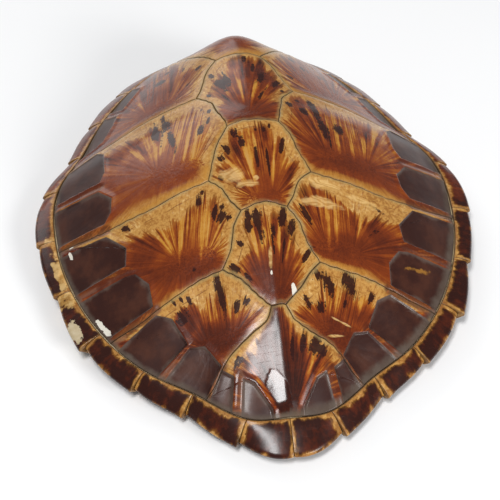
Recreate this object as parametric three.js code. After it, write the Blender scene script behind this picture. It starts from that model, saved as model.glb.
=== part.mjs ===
// A sea turtle's upper shell: the fused bony carapace and the horn scutes that cover it.
// Millimetres. +Z is up, +Y points to the head end, and X = 0 is the plane of symmetry.
// The origin is at the middle of the shell's footprint, on the surface that it rests on.
import * as THREE from "three";
import { mergeVertices } from "three/addons/utils/BufferGeometryUtils.js";

// ---- Driving dimensions ----
const HALF_LENGTH = 278; // from the middle to the nuchal edge, and to the tail
const TAIL_NOTCH = 1.5; // how deep the notch between the last two marginals is
const HALF_WIDTH = 217.5; // the widest seam between marginals
const CROWN = 134.4; // top of the dome above the floor
const GUTTER = 30; // height of the groove between dome and marginals
const HEAD_LIFT = 8; // how far that groove rises at the head end
const CENTRE_Y = 56; // the dome's high point, ahead of the middle
const SCUTE = 2.5; // thickness of a horn scute
const CLEARANCE = 0.4; // between horn and the bone beneath it
const SEAM = 0.25; // each scute stands back this far from a seam
const BONE = 7.5; // thickness of the bony dome

// How steeply the dome falls to the groove, as an exponent: tail, flank and head.
const FALL_TAIL = 1.84;
const FALL_FLANK = 1.56;
const FALL_HEAD = 2.8;
const HEAD_FALL_FOCUS = 8; // how narrow the head end's own fall is
const HUMP = 14.5; // mid-line rise ahead of the crown
const HUMP_HALF_WIDTH = 34;
const HUMP_START = 60; // ahead of the dome's high point
const HUMP_RUN = 80;
const HUMP_FADE = 0.4; // share of the radius over which it fades at the groove
const KEEL = 3; // mid-line ridge over the rear scutes
const KEEL_HALF_WIDTH = 9;
const KEEL_START = -40;
const KEEL_RUN = 90;

// ---- Marginal rim ----
const EDGE_THICK = 8; // a marginal's outer edge, top to bottom
const EDGE_BEVEL = 1.5; // how far the edge's top corner stands back
const EDGE_UNDERCUT = 4; // how far its bottom corner stands back
const FLANGE_CROWN = 1.2; // how far the middle of a marginal bulges up
const FOOT_IN = -7; // the foot's inner line, measured outwards from the groove
const FOOT_OUT = 3;
const FOOT_LIFT_TAIL = 10;
const FOOT_LIFT_HEAD = 10;

// Seam ends from the head round to the tail, right half: the mid-line, the seam between the
// nuchal and marginal 1, those between the marginals, and the mid-line at the tail.
// Each is [x, y] on the groove, then [x, y, z] on the outer edge.
const SEAM_ENDS = [
  { groove: [0, 255], edge: [0, HALF_LENGTH, 17] },
  { groove: [32, 251], edge: [38, 275, 17] },
  { groove: [77, 235], edge: [96, 251, 16] },
  { groove: [114, 204], edge: [128, 223, 16] },
  { groove: [145, 164], edge: [160, 172, 18] },
  { groove: [170, 113], edge: [183, 116, 22] },
  { groove: [196, 64], edge: [210.5, 66.5, 23] },
  { groove: [200, -4], edge: [HALF_WIDTH, -6, 27] },
  { groove: [187, -72], edge: [202, -74, 26] },
  { groove: [162, -129], edge: [178, -137, 24] },
  { groove: [125, -177.5], edge: [136, -187, 20] },
  { groove: [83, -208.5], edge: [92, -219, 17] },
  { groove: [38, -242], edge: [47, -256, 17] },
  { groove: [0, -245], edge: [0, TAIL_NOTCH - HALF_LENGTH, 17] },
];
// Where a marginal's outer edge stands proud of the line between its seams: at its middle
// and at its rear corner, for the nuchal and marginals 1 to 12.
const PROUD_MIDDLE = [0, 1.5, 2, 2, 2.5, 2, 2.5, 2, 3, 3, 3, 3, 4];
const PROUD_REAR = [0, 1, 1.5, 2, 2.5, 2.5, 3, 3.5, 7, 5, 6, 6, 1];
const MARGINAL_STEPS = [2, 2, 2, 2, 2, 4, 4, 4, 4, 4, 4, 4, 4];

// Where the seams of the dome meet the groove, counted in seam ends from the head.
const MEETS = {
  v1c1: 1.5,
  c1c2: 5.5,
  c2c3: 7.25,
  c3c4: 9.25,
  v5c4: 11.25,
};

// ---- Seams of the dome, right half, [x, y] ----
// v and c are the vertebral and costal scutes, and 1 is at the head end.
const SEAMS = {
  v1v2: [[0, 146], [12, 145.5], [22.5, 143.5]],
  v2v3: [[0, 38], [12, 37.5], [25, 34.5]],
  v3v4: [[0, -60], [9, -61.5], [22.5, -65]],
  v4v5: [[0, -156], [6.5, -156.5]],
  v1c1: [[22.5, 143.5], [34, 162], [48, 188], [59, 215]],
  v2c1: [[22.5, 143.5], [34.5, 128], [43, 107.5], [50, 94.5]],
  v2c2: [[50, 94.5], [36, 77], [33, 63], [25, 34.5]],
  v3c2: [[25, 34.5], [35, 15.5], [41, -4], [48.5, -25]],
  v3c3: [[48.5, -25], [36, -37.5], [30, -52], [22.5, -65]],
  v4c3: [[22.5, -65], [31.5, -79.5], [36, -98.5], [46, -116]],
  v4c4: [[46, -116], [33, -128], [22, -141.5], [6.5, -156.5]],
  v5c4: [[6.5, -156.5], [12.5, -168.5], [27.5, -178.5], [44, -188.5], [53, -197.5], [63, -210]],
  c1c2: [[50, 94.5], [80, 97], [113, 96], [150, 94]],
  c2c3: [[48.5, -25], [80, -29], [118, -33], [160, -31]],
  c3c4: [[46, -116], [82.5, -123], [118, -135]],
};
// Each scute's own middle, from which its facets spread.
const MIDDLES = {
  vertebral: [[0, 205], [0, 92], [0, -14], [0, -108], [0, -208]],
  costal: [[95, 155], [105, 32], [100, -80], [78, -160]],
};
const RING_SHARES = [1, 0.62, 0.28]; // facet rings of a scute, from its outline inwards
const UNDERSIDE_SHARES = [0.92, 0.66, 0.34]; // rings of the bony dome's underside

const COLOURS = {
  vertebral: 0x8a4a20,
  costal: 0x7a3a18,
  marginal: 0x4a2018,
  bone: 0xc8b9a0,
};

// ---- Small helpers ----
const clamp01 = (value) => Math.min(1, Math.max(0, value));
const ease = (value) => clamp01(value) ** 2 * (3 - 2 * clamp01(value));
const mix = (a, b, share) => a + (b - a) * share;
const mirror = ([x, ...rest]) => [-x, ...rest];

// The angle of a plan point about the dome's high point: 0 at the tail, growing towards +X.
function angleOf(x, y) {
  return Math.atan2(x, CENTRE_Y - y);
}

// A closed ring through plan points of the right half, as a radius for each angle.
function ringRadius(points) {
  const half = points.map(([x, y]) => [angleOf(x, y), Math.hypot(x, y - CENTRE_Y)]);
  const rising = half.slice().reverse();
  const knots = [];
  for (const [angle, radius] of rising.slice(1).reverse()) knots.push([-angle, radius]);
  for (const knot of rising) knots.push(knot);
  const count = knots.length - 1;
  const knotAt = (i) => {
    const turns = Math.floor(i / count);
    const [angle, radius] = knots[i - turns * count];
    return [angle + turns * 2 * Math.PI, radius];
  };
  const slopeAt = (i) => {
    const [before, after] = [knotAt(i - 1), knotAt(i + 1)];
    return (after[1] - before[1]) / (after[0] - before[0]);
  };
  return (angle) => {
    let i = 0;
    while (i < count - 1 && knotAt(i + 1)[0] < angle) i += 1;
    const [a, b] = [knotAt(i), knotAt(i + 1)];
    const span = b[0] - a[0];
    const t = clamp01((angle - a[0]) / span);
    const [t2, t3] = [t * t, t * t * t];
    return (
      (2 * t3 - 3 * t2 + 1) * a[1] +
      (t3 - 2 * t2 + t) * span * slopeAt(i) +
      (3 * t2 - 2 * t3) * b[1] +
      (t3 - t2) * span * slopeAt(i + 1)
    );
  };
}

const grooveRadius = ringRadius(SEAM_ENDS.map((end) => end.groove));
const edgeRadius = ringRadius(SEAM_ENDS.map((end) => end.edge));

// ---- The dome's surface ----
function grooveHeight(angle) {
  return GUTTER + HEAD_LIFT * ease((-Math.cos(angle) - 0.5) / 0.5);
}

function fall(angle) {
  const towardsTail = Math.cos(angle);
  const tail = clamp01(towardsTail);
  const head = clamp01(-towardsTail) ** HEAD_FALL_FOCUS;
  return FALL_FLANK + (FALL_TAIL - FALL_FLANK) * tail + (FALL_HEAD - FALL_FLANK) * head;
}

function domeHeight(x, y) {
  const angle = angleOf(x, y);
  const share = Math.min(1, Math.hypot(x, y - CENTRE_Y) / grooveRadius(angle));
  const foot = grooveHeight(angle);
  const dome = foot + (CROWN - foot) * (1 - share ** fall(angle));
  const fade = ease((1 - share) / HUMP_FADE);
  const hump = HUMP * Math.exp(-((x / HUMP_HALF_WIDTH) ** 2)) * ease((y - CENTRE_Y - HUMP_START) / HUMP_RUN);
  const keel = KEEL * Math.exp(-((x / KEEL_HALF_WIDTH) ** 2)) * ease((KEEL_START - y) / KEEL_RUN);
  return dome + (hump + keel) * fade;
}

function domeNormal(x, y) {
  const step = 2;
  const inward = 0.99; // keeps the samples off the groove's fold
  const [px, py] = [x * inward, CENTRE_Y + (y - CENTRE_Y) * inward];
  const dx = (domeHeight(px + step, py) - domeHeight(px - step, py)) / (2 * step);
  const dy = (domeHeight(px, py + step) - domeHeight(px, py - step)) / (2 * step);
  return new THREE.Vector3(-dx, -dy, 1).normalize();
}

// A point on the dome, or `depth` beneath it along the surface's normal.
function domePoint([x, y], depth) {
  const point = new THREE.Vector3(x, y, domeHeight(x, y));
  return point.addScaledVector(domeNormal(x, y), -depth);
}

// ---- The ring of seam ends ----
// A point of a ring at `place`, counted in seam ends from the head; negative places are left.
function ringPoint(radius, key, place) {
  const [side, at] = [Math.sign(place) || 1, Math.abs(place)];
  const i = Math.min(Math.floor(at), SEAM_ENDS.length - 2);
  const angles = [i, i + 1].map((k) => {
    const angle = angleOf(...SEAM_ENDS[k][key].slice(0, 2));
    return k === 0 ? Math.PI : angle;
  });
  const angle = mix(angles[0], angles[1], at - i);
  const reach = radius(angle);
  return [side * Math.sin(angle) * reach, CENTRE_Y - Math.cos(angle) * reach];
}

const groovePoint = (place) => ringPoint(grooveRadius, "groove", place);

// Places of the facets' corners between two places on one side, both included.
function placesBetween(from, to) {
  const places = [];
  for (let i = 0; i < MARGINAL_STEPS.length; i += 1) {
    for (let k = 0; k < MARGINAL_STEPS[i]; k += 1) places.push(i + k / MARGINAL_STEPS[i]);
  }
  places.push(MARGINAL_STEPS.length);
  return places.filter((place) => place >= from - 1e-9 && place <= to + 1e-9);
}

const grooveRun = (from, to) => placesBetween(from, to).map(groovePoint);

// ---- Scute outlines, anticlockwise from above ----
const flip = (outline) => outline.map(mirror).reverse();

function chain(...runs) {
  const outline = [];
  for (const run of runs) {
    for (const point of run) {
      const last = outline[outline.length - 1];
      if (!last || Math.hypot(point[0] - last[0], point[1] - last[1]) > 1e-6) outline.push(point);
    }
  }
  const [first, last] = [outline[0], outline[outline.length - 1]];
  if (Math.hypot(first[0] - last[0], first[1] - last[1]) < 1e-6) outline.pop();
  return outline;
}

const back = (run) => run.slice().reverse();
const tailPlace = SEAM_ENDS.length - 1;
const S = {};
for (const [name, run] of Object.entries(SEAMS)) {
  S[name] = MEETS[name] ? [...run, groovePoint(MEETS[name])] : run;
}

// A vertebral's right-hand edge from its front to its rear, closed by the same edge mirrored.
const vertebralEdges = [
  chain(grooveRun(0, MEETS.v1c1), back(S.v1c1), back(S.v1v2)),
  chain(S.v1v2, S.v2c1, S.v2c2, back(S.v2v3)),
  chain(S.v2v3, S.v3c2, S.v3c3, back(S.v3v4)),
  chain(S.v3v4, S.v4c3, S.v4c4, back(S.v4v5)),
  chain(S.v4v5, S.v5c4, grooveRun(MEETS.v5c4, tailPlace)),
];
const vertebralOutlines = vertebralEdges.map((right) => chain(back(right), right.map(mirror)));
const costalOutlines = [
  chain(S.v1c1, grooveRun(MEETS.v1c1, MEETS.c1c2), back(S.c1c2), back(S.v2c1)),
  chain(S.c1c2, grooveRun(MEETS.c1c2, MEETS.c2c3), back(S.c2c3), back(S.v3c2), back(S.v2c2)),
  chain(S.c2c3, grooveRun(MEETS.c2c3, MEETS.c3c4), back(S.c3c4), back(S.v4c3), back(S.v3c3)),
  chain(S.c3c4, grooveRun(MEETS.c3c4, MEETS.v5c4), back(S.v5c4), back(S.v4c4)),
].map(back);

// The outline drawn in by `distance`, corner by corner.
function drawnIn(outline, distance) {
  const count = outline.length;
  return outline.map(([x, y], i) => {
    const [ax, ay] = outline[(i + count - 1) % count];
    const [bx, by] = outline[(i + 1) % count];
    const before = new THREE.Vector2(ay - y, x - ax).normalize();
    const after = new THREE.Vector2(y - by, bx - x).normalize();
    const sum = before.clone().add(after);
    const grow = (2 * distance) / Math.max(0.6, sum.lengthSq());
    return [x + sum.x * grow, y + sum.y * grow];
  });
}

// Plan points of a patch: rings of the outline shrunk towards its middle, then the middle.
function patchPoints(outline, middle) {
  const points = [];
  for (const share of RING_SHARES) {
    for (const [x, y] of outline) points.push([mix(middle[0], x, share), mix(middle[1], y, share)]);
  }
  points.push(middle);
  return points;
}

// Triangles of that patch, facing up.
function patchFaces(count) {
  const faces = [];
  for (let ring = 0; ring + 1 < RING_SHARES.length; ring += 1) {
    for (let i = 0; i < count; i += 1) {
      const [a, b] = [ring * count + i, ring * count + ((i + 1) % count)];
      faces.push([a, b, b + count], [a, b + count, a + count]);
    }
  }
  const last = (RING_SHARES.length - 1) * count;
  for (let i = 0; i < count; i += 1) faces.push([last + i, last + ((i + 1) % count), last + count]);
  return faces;
}

// ---- Meshes ----
function geometryFrom(points, faces) {
  const position = new Float32Array(faces.length * 9);
  faces.flat().forEach((index, i) => position.set(points[index].toArray(), i * 3));
  const geometry = new THREE.BufferGeometry();
  geometry.setAttribute("position", new THREE.BufferAttribute(position, 3));
  const merged = mergeVertices(geometry, 1e-3);
  merged.computeVertexNormals();
  return merged;
}

function hornMaterial(colour) {
  return new THREE.MeshStandardMaterial({ color: colour, roughness: 0.25, metalness: 0 });
}

function namedMesh(name, geometry, material) {
  const mesh = new THREE.Mesh(geometry, material);
  mesh.name = name;
  return mesh;
}

// A scute of the dome: its patch on the surface, the same patch a thickness below, and its edge.
function scuteGeometry(outline, middle) {
  const plan = patchPoints(drawnIn(outline, SEAM), middle);
  const top = plan.map((point) => domePoint(point, 0));
  const under = plan.map((point) => domePoint(point, SCUTE));
  const faces = patchFaces(outline.length);
  const all = faces.concat(faces.map(([a, b, c]) => [a + plan.length, c + plan.length, b + plan.length]));
  for (let i = 0; i < outline.length; i += 1) {
    const next = (i + 1) % outline.length;
    all.push([i, i + plan.length, next + plan.length], [i, next + plan.length, next]);
  }
  return geometryFrom([...top, ...under], all);
}

// ---- Rim sections, as [outwards from the groove, height] ----
function rimStation(place) {
  const at = Math.abs(place);
  const i = Math.min(Math.floor(at), SEAM_ENDS.length - 2);
  const groove = new THREE.Vector2(...groovePoint(place));
  const edge = new THREE.Vector2(...ringPoint(edgeRadius, "edge", place));
  const outwards = edge.clone().sub(groove);
  const width = outwards.length();
  outwards.normalize();
  const angle = angleOf(groove.x, groove.y);
  const edgeHeight = mix(SEAM_ENDS[i].edge[2], SEAM_ENDS[i + 1].edge[2], at - i);
  const tailLift = FOOT_LIFT_TAIL * ease((Math.cos(angle) - 0.8) / 0.19);
  const headLift = FOOT_LIFT_HEAD * ease((-Math.cos(angle) - 0.5) / 0.45);
  return { groove, outwards, width, grooveHeight: grooveHeight(angle), edgeHeight, foot: tailLift + headLift };
}

// The rim's outer line from the groove over the edge to the foot, `proud` wider at the edge.
function rimLine(station, proud) {
  const reach = station.width + proud;
  const { grooveHeight: top, edgeHeight: edge, foot } = station;
  const bottom = Math.max(foot, edge - EDGE_THICK);
  return [
    [SEAM, top],
    [reach * 0.5, mix(top, edge, 0.5) + FLANGE_CROWN],
    [reach - EDGE_BEVEL, edge],
    [reach, edge - EDGE_THICK * 0.4],
    [reach - EDGE_UNDERCUT, bottom],
    [FOOT_OUT, foot],
    [FOOT_IN, foot],
  ].map(([out, height]) => new THREE.Vector2(out, height));
}

// That line moved into the rim by `depth`, its corners mitred.
function rimInset(line, depth) {
  const normals = line.slice(1).map((point, i) => {
    const along = point.clone().sub(line[i]).normalize();
    return new THREE.Vector2(along.y, -along.x);
  });
  return line.map((point, i) => {
    const before = normals[Math.max(0, i - 1)];
    const after = normals[Math.min(normals.length - 1, i)];
    const sum = before.clone().add(after);
    return point.clone().addScaledVector(sum, (2 * depth) / sum.lengthSq());
  });
}

function rimPoints(station, line) {
  return line.map(({ x: out, y: height }) => {
    const { groove, outwards } = station;
    return new THREE.Vector3(groove.x + outwards.x * out, groove.y + outwards.y * out, height);
  });
}

// How far a marginal's edge stands proud, `along` its length from front to rear.
function proudAt(marginal, along) {
  const middle = PROUD_MIDDLE[marginal] * Math.sin(Math.PI * along);
  return middle + PROUD_REAR[marginal] * along ** 3;
}

// A marginal, or the nuchal: a sheath of horn bent round the rim, from station to station.
function sheathGeometry(stations, prouds) {
  const points = [];
  const sections = stations.map((station, i) => {
    const outer = rimPoints(station, rimLine(station, prouds[i]));
    const inner = rimPoints(station, rimInset(rimLine(station, 0), SCUTE));
    return [...outer, ...inner.reverse()];
  });
  sections.forEach((section) => points.push(...section));
  const size = sections[0].length;
  const faces = [];
  for (let s = 0; s + 1 < sections.length; s += 1) {
    for (let k = 0; k < size; k += 1) {
      const [a, b] = [s * size + k, s * size + ((k + 1) % size)];
      // The inner side is split the other way, so that its facets lie parallel to the bone's.
      if (k < size / 2) faces.push([a, a + size, b + size], [a, b + size, b]);
      else faces.push([a, a + size, b], [b, a + size, b + size]);
    }
  }
  const strip = size / 2 - 1;
  const last = (sections.length - 1) * size;
  for (let k = 0; k < strip; k += 1) {
    const [a, b, c, d] = [k, k + 1, size - 2 - k, size - 1 - k];
    faces.push([a, b, c], [a, c, d]);
    faces.push([last + a, last + c, last + b], [last + a, last + d, last + c]);
  }
  return geometryFrom(points, faces);
}

// A station moved along the rim by a seam's gap, towards the marginal's own middle.
function nudged(station, towards) {
  const along = towards.groove.clone().sub(station.groove).normalize().multiplyScalar(SEAM);
  return { ...station, groove: station.groove.clone().add(along) };
}

function marginalGeometry(marginal, side) {
  const places = placesBetween(marginal, marginal + 1);
  const stations = places.map((place) => rimStation(side * place));
  const count = stations.length;
  const ends = stations.slice();
  ends[0] = nudged(stations[0], stations[1]);
  ends[count - 1] = nudged(stations[count - 1], stations[count - 2]);
  const prouds = places.map((place) => proudAt(marginal, place - marginal));
  return side > 0
    ? sheathGeometry(ends, prouds)
    : sheathGeometry(ends.reverse(), prouds.reverse());
}

function nuchalGeometry() {
  const right = placesBetween(0, 1).map(rimStation);
  const left = placesBetween(0, 1).slice(1).map((place) => rimStation(-place));
  const stations = [...left.reverse(), ...right];
  const count = stations.length;
  const ends = stations.slice();
  ends[0] = nudged(stations[0], stations[1]);
  ends[count - 1] = nudged(stations[count - 1], stations[count - 2]);
  return sheathGeometry(ends, stations.map(() => 0));
}

// ---- The bony carapace ----
function boneGeometry(patches) {
  const depth = SCUTE + CLEARANCE;
  const points = [];
  const faces = [];
  for (const { outline, middle } of patches) {
    const start = points.length;
    points.push(...patchPoints(outline, middle).map((point) => domePoint(point, depth)));
    faces.push(...patchFaces(outline.length).map((face) => face.map((index) => index + start)));
  }
  const right = placesBetween(0, tailPlace);
  const left = right.slice(1, -1).map((place) => -place).reverse();
  const stations = [...right, ...left].map((place) => ({ place, ...rimStation(place) }));
  const rings = stations.map((station) => {
    const plan = [station.groove.x, station.groove.y];
    const rim = rimPoints(station, rimInset(rimLine(station, 0), depth));
    const under = UNDERSIDE_SHARES.map((share) =>
      domePoint([plan[0] * share, mix(CENTRE_Y, plan[1], share)], depth + BONE),
    );
    return [domePoint(plan, depth), ...rim, ...under];
  });
  const start = points.length;
  const size = rings[0].length;
  rings.forEach((ring) => points.push(...ring));
  for (let s = 0; s < rings.length; s += 1) {
    const next = (s + 1) % rings.length;
    for (let k = 0; k + 1 < size; k += 1) {
      const [a, b] = [start + s * size + k, start + next * size + k];
      faces.push([a, b + 1, a + 1], [a, b, b + 1]);
    }
  }
  const crown = points.push(domePoint([0, CENTRE_Y], depth + BONE)) - 1;
  for (let s = 0; s < rings.length; s += 1) {
    const next = (s + 1) % rings.length;
    faces.push([start + s * size + size - 1, start + next * size + size - 1, crown]);
  }
  return geometryFrom(points, faces);
}

// ---- The shell ----
const shell = new THREE.Group();
const dome = new THREE.Group();
const rim = new THREE.Group();
shell.add(dome, rim);

const patches = [];
vertebralOutlines.forEach((outline, i) => {
  const middle = MIDDLES.vertebral[i];
  patches.push({ outline, middle });
  const geometry = scuteGeometry(outline, middle);
  dome.add(namedMesh(`vertebral_${i + 1}`, geometry, hornMaterial(COLOURS.vertebral)));
});
for (const side of ["left", "right"]) {
  costalOutlines.forEach((rightOutline, i) => {
    const outline = side === "right" ? rightOutline : flip(rightOutline);
    const middle = side === "right" ? MIDDLES.costal[i] : mirror(MIDDLES.costal[i]);
    patches.push({ outline, middle });
    const geometry = scuteGeometry(outline, middle);
    dome.add(namedMesh(`costal_${side}_${i + 1}`, geometry, hornMaterial(COLOURS.costal)));
  });
}

rim.add(namedMesh("nuchal", nuchalGeometry(), hornMaterial(COLOURS.marginal)));
for (const [side, sign] of [["left", -1], ["right", 1]]) {
  for (let marginal = 1; marginal < SEAM_ENDS.length - 1; marginal += 1) {
    const geometry = marginalGeometry(marginal, sign);
    rim.add(namedMesh(`marginal_${side}_${marginal}`, geometry, hornMaterial(COLOURS.marginal)));
  }
}

const boneMaterial = new THREE.MeshStandardMaterial({ color: COLOURS.bone, roughness: 0.8, metalness: 0 });
shell.add(namedMesh("bony_carapace", boneGeometry(patches), boneMaterial));

export default shell;
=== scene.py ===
"""A sea turtle's upper shell: its horn scutes, the bone beneath them and the studio round it.

The shell's form is the same rule as the solid model's, worked out in millimetres: a dome that
falls to a groove, and a rim of marginal scutes outside the groove. Each scute is a fine mesh on
that form, and carries the fields (growth rays, borders, dried hollows, wear) that its finish reads.
"""

from __future__ import annotations

import logging
import math
from dataclasses import dataclass, field
from enum import Enum
from typing import Iterable, Sequence

import bpy
import numpy as np
from mathutils import Matrix, Vector

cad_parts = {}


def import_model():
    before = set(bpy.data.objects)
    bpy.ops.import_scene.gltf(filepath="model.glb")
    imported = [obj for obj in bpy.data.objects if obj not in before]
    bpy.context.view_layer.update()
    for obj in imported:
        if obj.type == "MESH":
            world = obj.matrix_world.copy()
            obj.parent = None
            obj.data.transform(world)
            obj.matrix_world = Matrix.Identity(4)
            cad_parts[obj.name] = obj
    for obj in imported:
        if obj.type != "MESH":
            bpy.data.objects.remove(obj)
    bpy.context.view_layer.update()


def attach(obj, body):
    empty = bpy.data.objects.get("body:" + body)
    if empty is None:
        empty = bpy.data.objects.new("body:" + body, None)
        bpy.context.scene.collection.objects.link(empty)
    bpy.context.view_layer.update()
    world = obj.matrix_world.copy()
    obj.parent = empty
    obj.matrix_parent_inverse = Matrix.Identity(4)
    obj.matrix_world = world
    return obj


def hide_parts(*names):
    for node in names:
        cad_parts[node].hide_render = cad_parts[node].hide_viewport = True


LOG = logging.getLogger("turtle_shell")
MM = 0.001
FAR = 1e9
Plan = tuple[float, float]
Hollow = tuple[float, list[Plan], float]
Array = np.ndarray
Drawn = tuple[Array, Array]
Piece = bpy.types.Object
Material = bpy.types.Material
Tree = bpy.types.NodeTree
Node = bpy.types.Node
Socket = bpy.types.NodeSocket


# ---------------------------------------------------------------- small maths


def ease(value: Array | float) -> Array:
    """Returns the smooth step from 0 to 1 of a value."""
    t = np.clip(value, 0.0, 1.0)
    return t * t * (3.0 - 2.0 * t)


def mix(a: Array | float, b: Array | float, share: Array | float) -> Array:
    """Returns the blend of a and b."""
    return a + (b - a) * share


def smooth_run(points: Sequence[Plan], spacing: float) -> Array:
    """Draws a smooth line through a few plan points.

    Args:
        points: the points that the line passes through.
        spacing: the greatest distance between samples, in mm.

    Returns:
        The samples, both ends included, as an (n, 2) array.
    """
    p = np.array(points, float)
    if len(p) == 2:
        count = max(2, math.ceil(float(np.hypot(*(p[1] - p[0]))) / spacing) + 1)
        return p[0] + np.linspace(0.0, 1.0, count)[:, None] * (p[1] - p[0])
    padded = np.vstack([2 * p[0] - p[1], p, 2 * p[-1] - p[-2]])
    runs = []
    for i in range(1, len(padded) - 2):
        a, b, c, d = padded[i - 1 : i + 3]
        count = max(1, math.ceil(float(np.hypot(*(c - b))) / spacing))
        t = (np.arange(count) / count)[:, None]
        bend, twist = 2 * a - 5 * b + 4 * c - d, 3 * b - a - 3 * c + d
        runs.append(0.5 * (2 * b + (c - a) * t + bend * t**2 + twist * t**3))
    return np.vstack([*runs, p[-1:]])


def chain(*runs: Array) -> Array:
    """Joins runs end to end into one closed outline, without repeating their shared ends."""
    return np.vstack([run[:-1] for run in runs])


def run_numbers(runs: Sequence[Array]) -> Array:
    """Returns the number of the run that each point of a chain of runs is on."""
    return np.concatenate([np.full(len(run) - 1, k) for k, run in enumerate(runs)])


def rounding(inset: Array | float, radius: float) -> Array:
    """Returns how far a rounded edge has fallen: 1 on the edge, 0 from a radius inside it."""
    return 1 - np.sqrt(1 - (1 - np.clip(inset / radius, 0, 1)) ** 2)


def inner_side(line: Array) -> Array:
    """Returns the unit normals of a section line, turned into the rim."""
    tangent = np.gradient(line, axis=0)
    tangent /= np.linalg.norm(tangent, axis=1, keepdims=True)
    return np.stack([tangent[:, 1], -tangent[:, 0]], axis=1)


def segment_distance(x: Array, y: Array, start: Plan, end: Plan) -> Array:
    """Returns the distance from plan points to a straight segment."""
    (ax, ay), (bx, by) = start, end
    dx, dy = bx - ax, by - ay
    t = np.clip(((x - ax) * dx + (y - ay) * dy) / (dx * dx + dy * dy), 0.0, 1.0)
    return np.hypot(x - ax - t * dx, y - ay - t * dy)


def inside_distance(x: Array, y: Array, corners: Array) -> Array:
    """Measures how far plan points lie inside a polygon.

    Args:
        x: the points' x.
        y: the points' y.
        corners: the polygon's corners, as an (n, 2) array.

    Returns:
        The distance to the polygon's edge, positive inside it.
    """
    best = np.full(x.shape, FAR)
    inside = np.zeros(x.shape, bool)
    for (ax, ay), (bx, by) in zip(corners, np.roll(corners, -1, axis=0)):
        best = np.minimum(best, segment_distance(x, y, (ax, ay), (bx, by)))
        crosses = (ay > y) != (by > y)
        with np.errstate(divide="ignore", invalid="ignore"):
            inside ^= crosses & (x < ax + (y - ay) * (bx - ax) / (by - ay))
    return np.where(inside, best, -best)


def line_distance(x: Array, y: Array, points: Sequence[Plan]) -> Array:
    """Returns the distance from plan points to an open line."""
    best = np.full(np.shape(x), FAR)
    for start, end in zip(points, points[1:]):
        best = np.minimum(best, segment_distance(x, y, start, end))
    return best


# ---------------------------------------------------------------- the shell's form


@dataclass(frozen=True)
class SeamEnd:
    """Where a seam of the rim starts on the groove, and where it ends on the outer edge, in mm."""

    groove: Plan
    edge: tuple[float, float, float]


class Side(Enum):
    """A side of the animal."""

    LEFT = -1
    RIGHT = 1

    @property
    def word(self) -> str:
        """The side's name in lower case."""
        return self.name.lower()


class Ring:
    """A closed ring round the dome's high point, as a radius for each angle."""

    def __init__(self, points: Sequence[Plan], centre_y: float) -> None:
        """Threads a smooth ring through plan points.

        Args:
            points: points of the right half, from head to tail.
            centre_y: y of the dome's high point.
        """
        p = np.array(points, float)[::-1]
        angle = np.arctan2(p[:, 0], centre_y - p[:, 1])
        radius = np.hypot(p[:, 0], p[:, 1] - centre_y)
        self.angles = np.concatenate([-angle[:0:-1], angle])
        self.radii = np.concatenate([radius[:0:-1], radius])
        turn = 2 * math.pi
        before = np.concatenate([[self.angles[-2] - turn], self.angles[:-1]])
        after = np.concatenate([self.angles[1:], [self.angles[1] + turn]])
        r_before = np.concatenate([[self.radii[-2]], self.radii[:-1]])
        r_after = np.concatenate([self.radii[1:], [self.radii[1]]])
        self.slopes = (r_after - r_before) / (after - before)

    def __call__(self, angle: Array | float) -> Array:
        """Returns the ring's radius at an angle."""
        i = np.clip(np.searchsorted(self.angles, angle) - 1, 0, len(self.angles) - 2)
        span = self.angles[i + 1] - self.angles[i]
        t = np.clip((angle - self.angles[i]) / span, 0.0, 1.0)
        t2, t3 = t * t, t * t * t
        return (
            (2 * t3 - 3 * t2 + 1) * self.radii[i]
            + (t3 - 2 * t2 + t) * span * self.slopes[i]
            + (3 * t2 - 2 * t3) * self.radii[i + 1]
            + (t3 - t2) * span * self.slopes[i + 1]
        )


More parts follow.
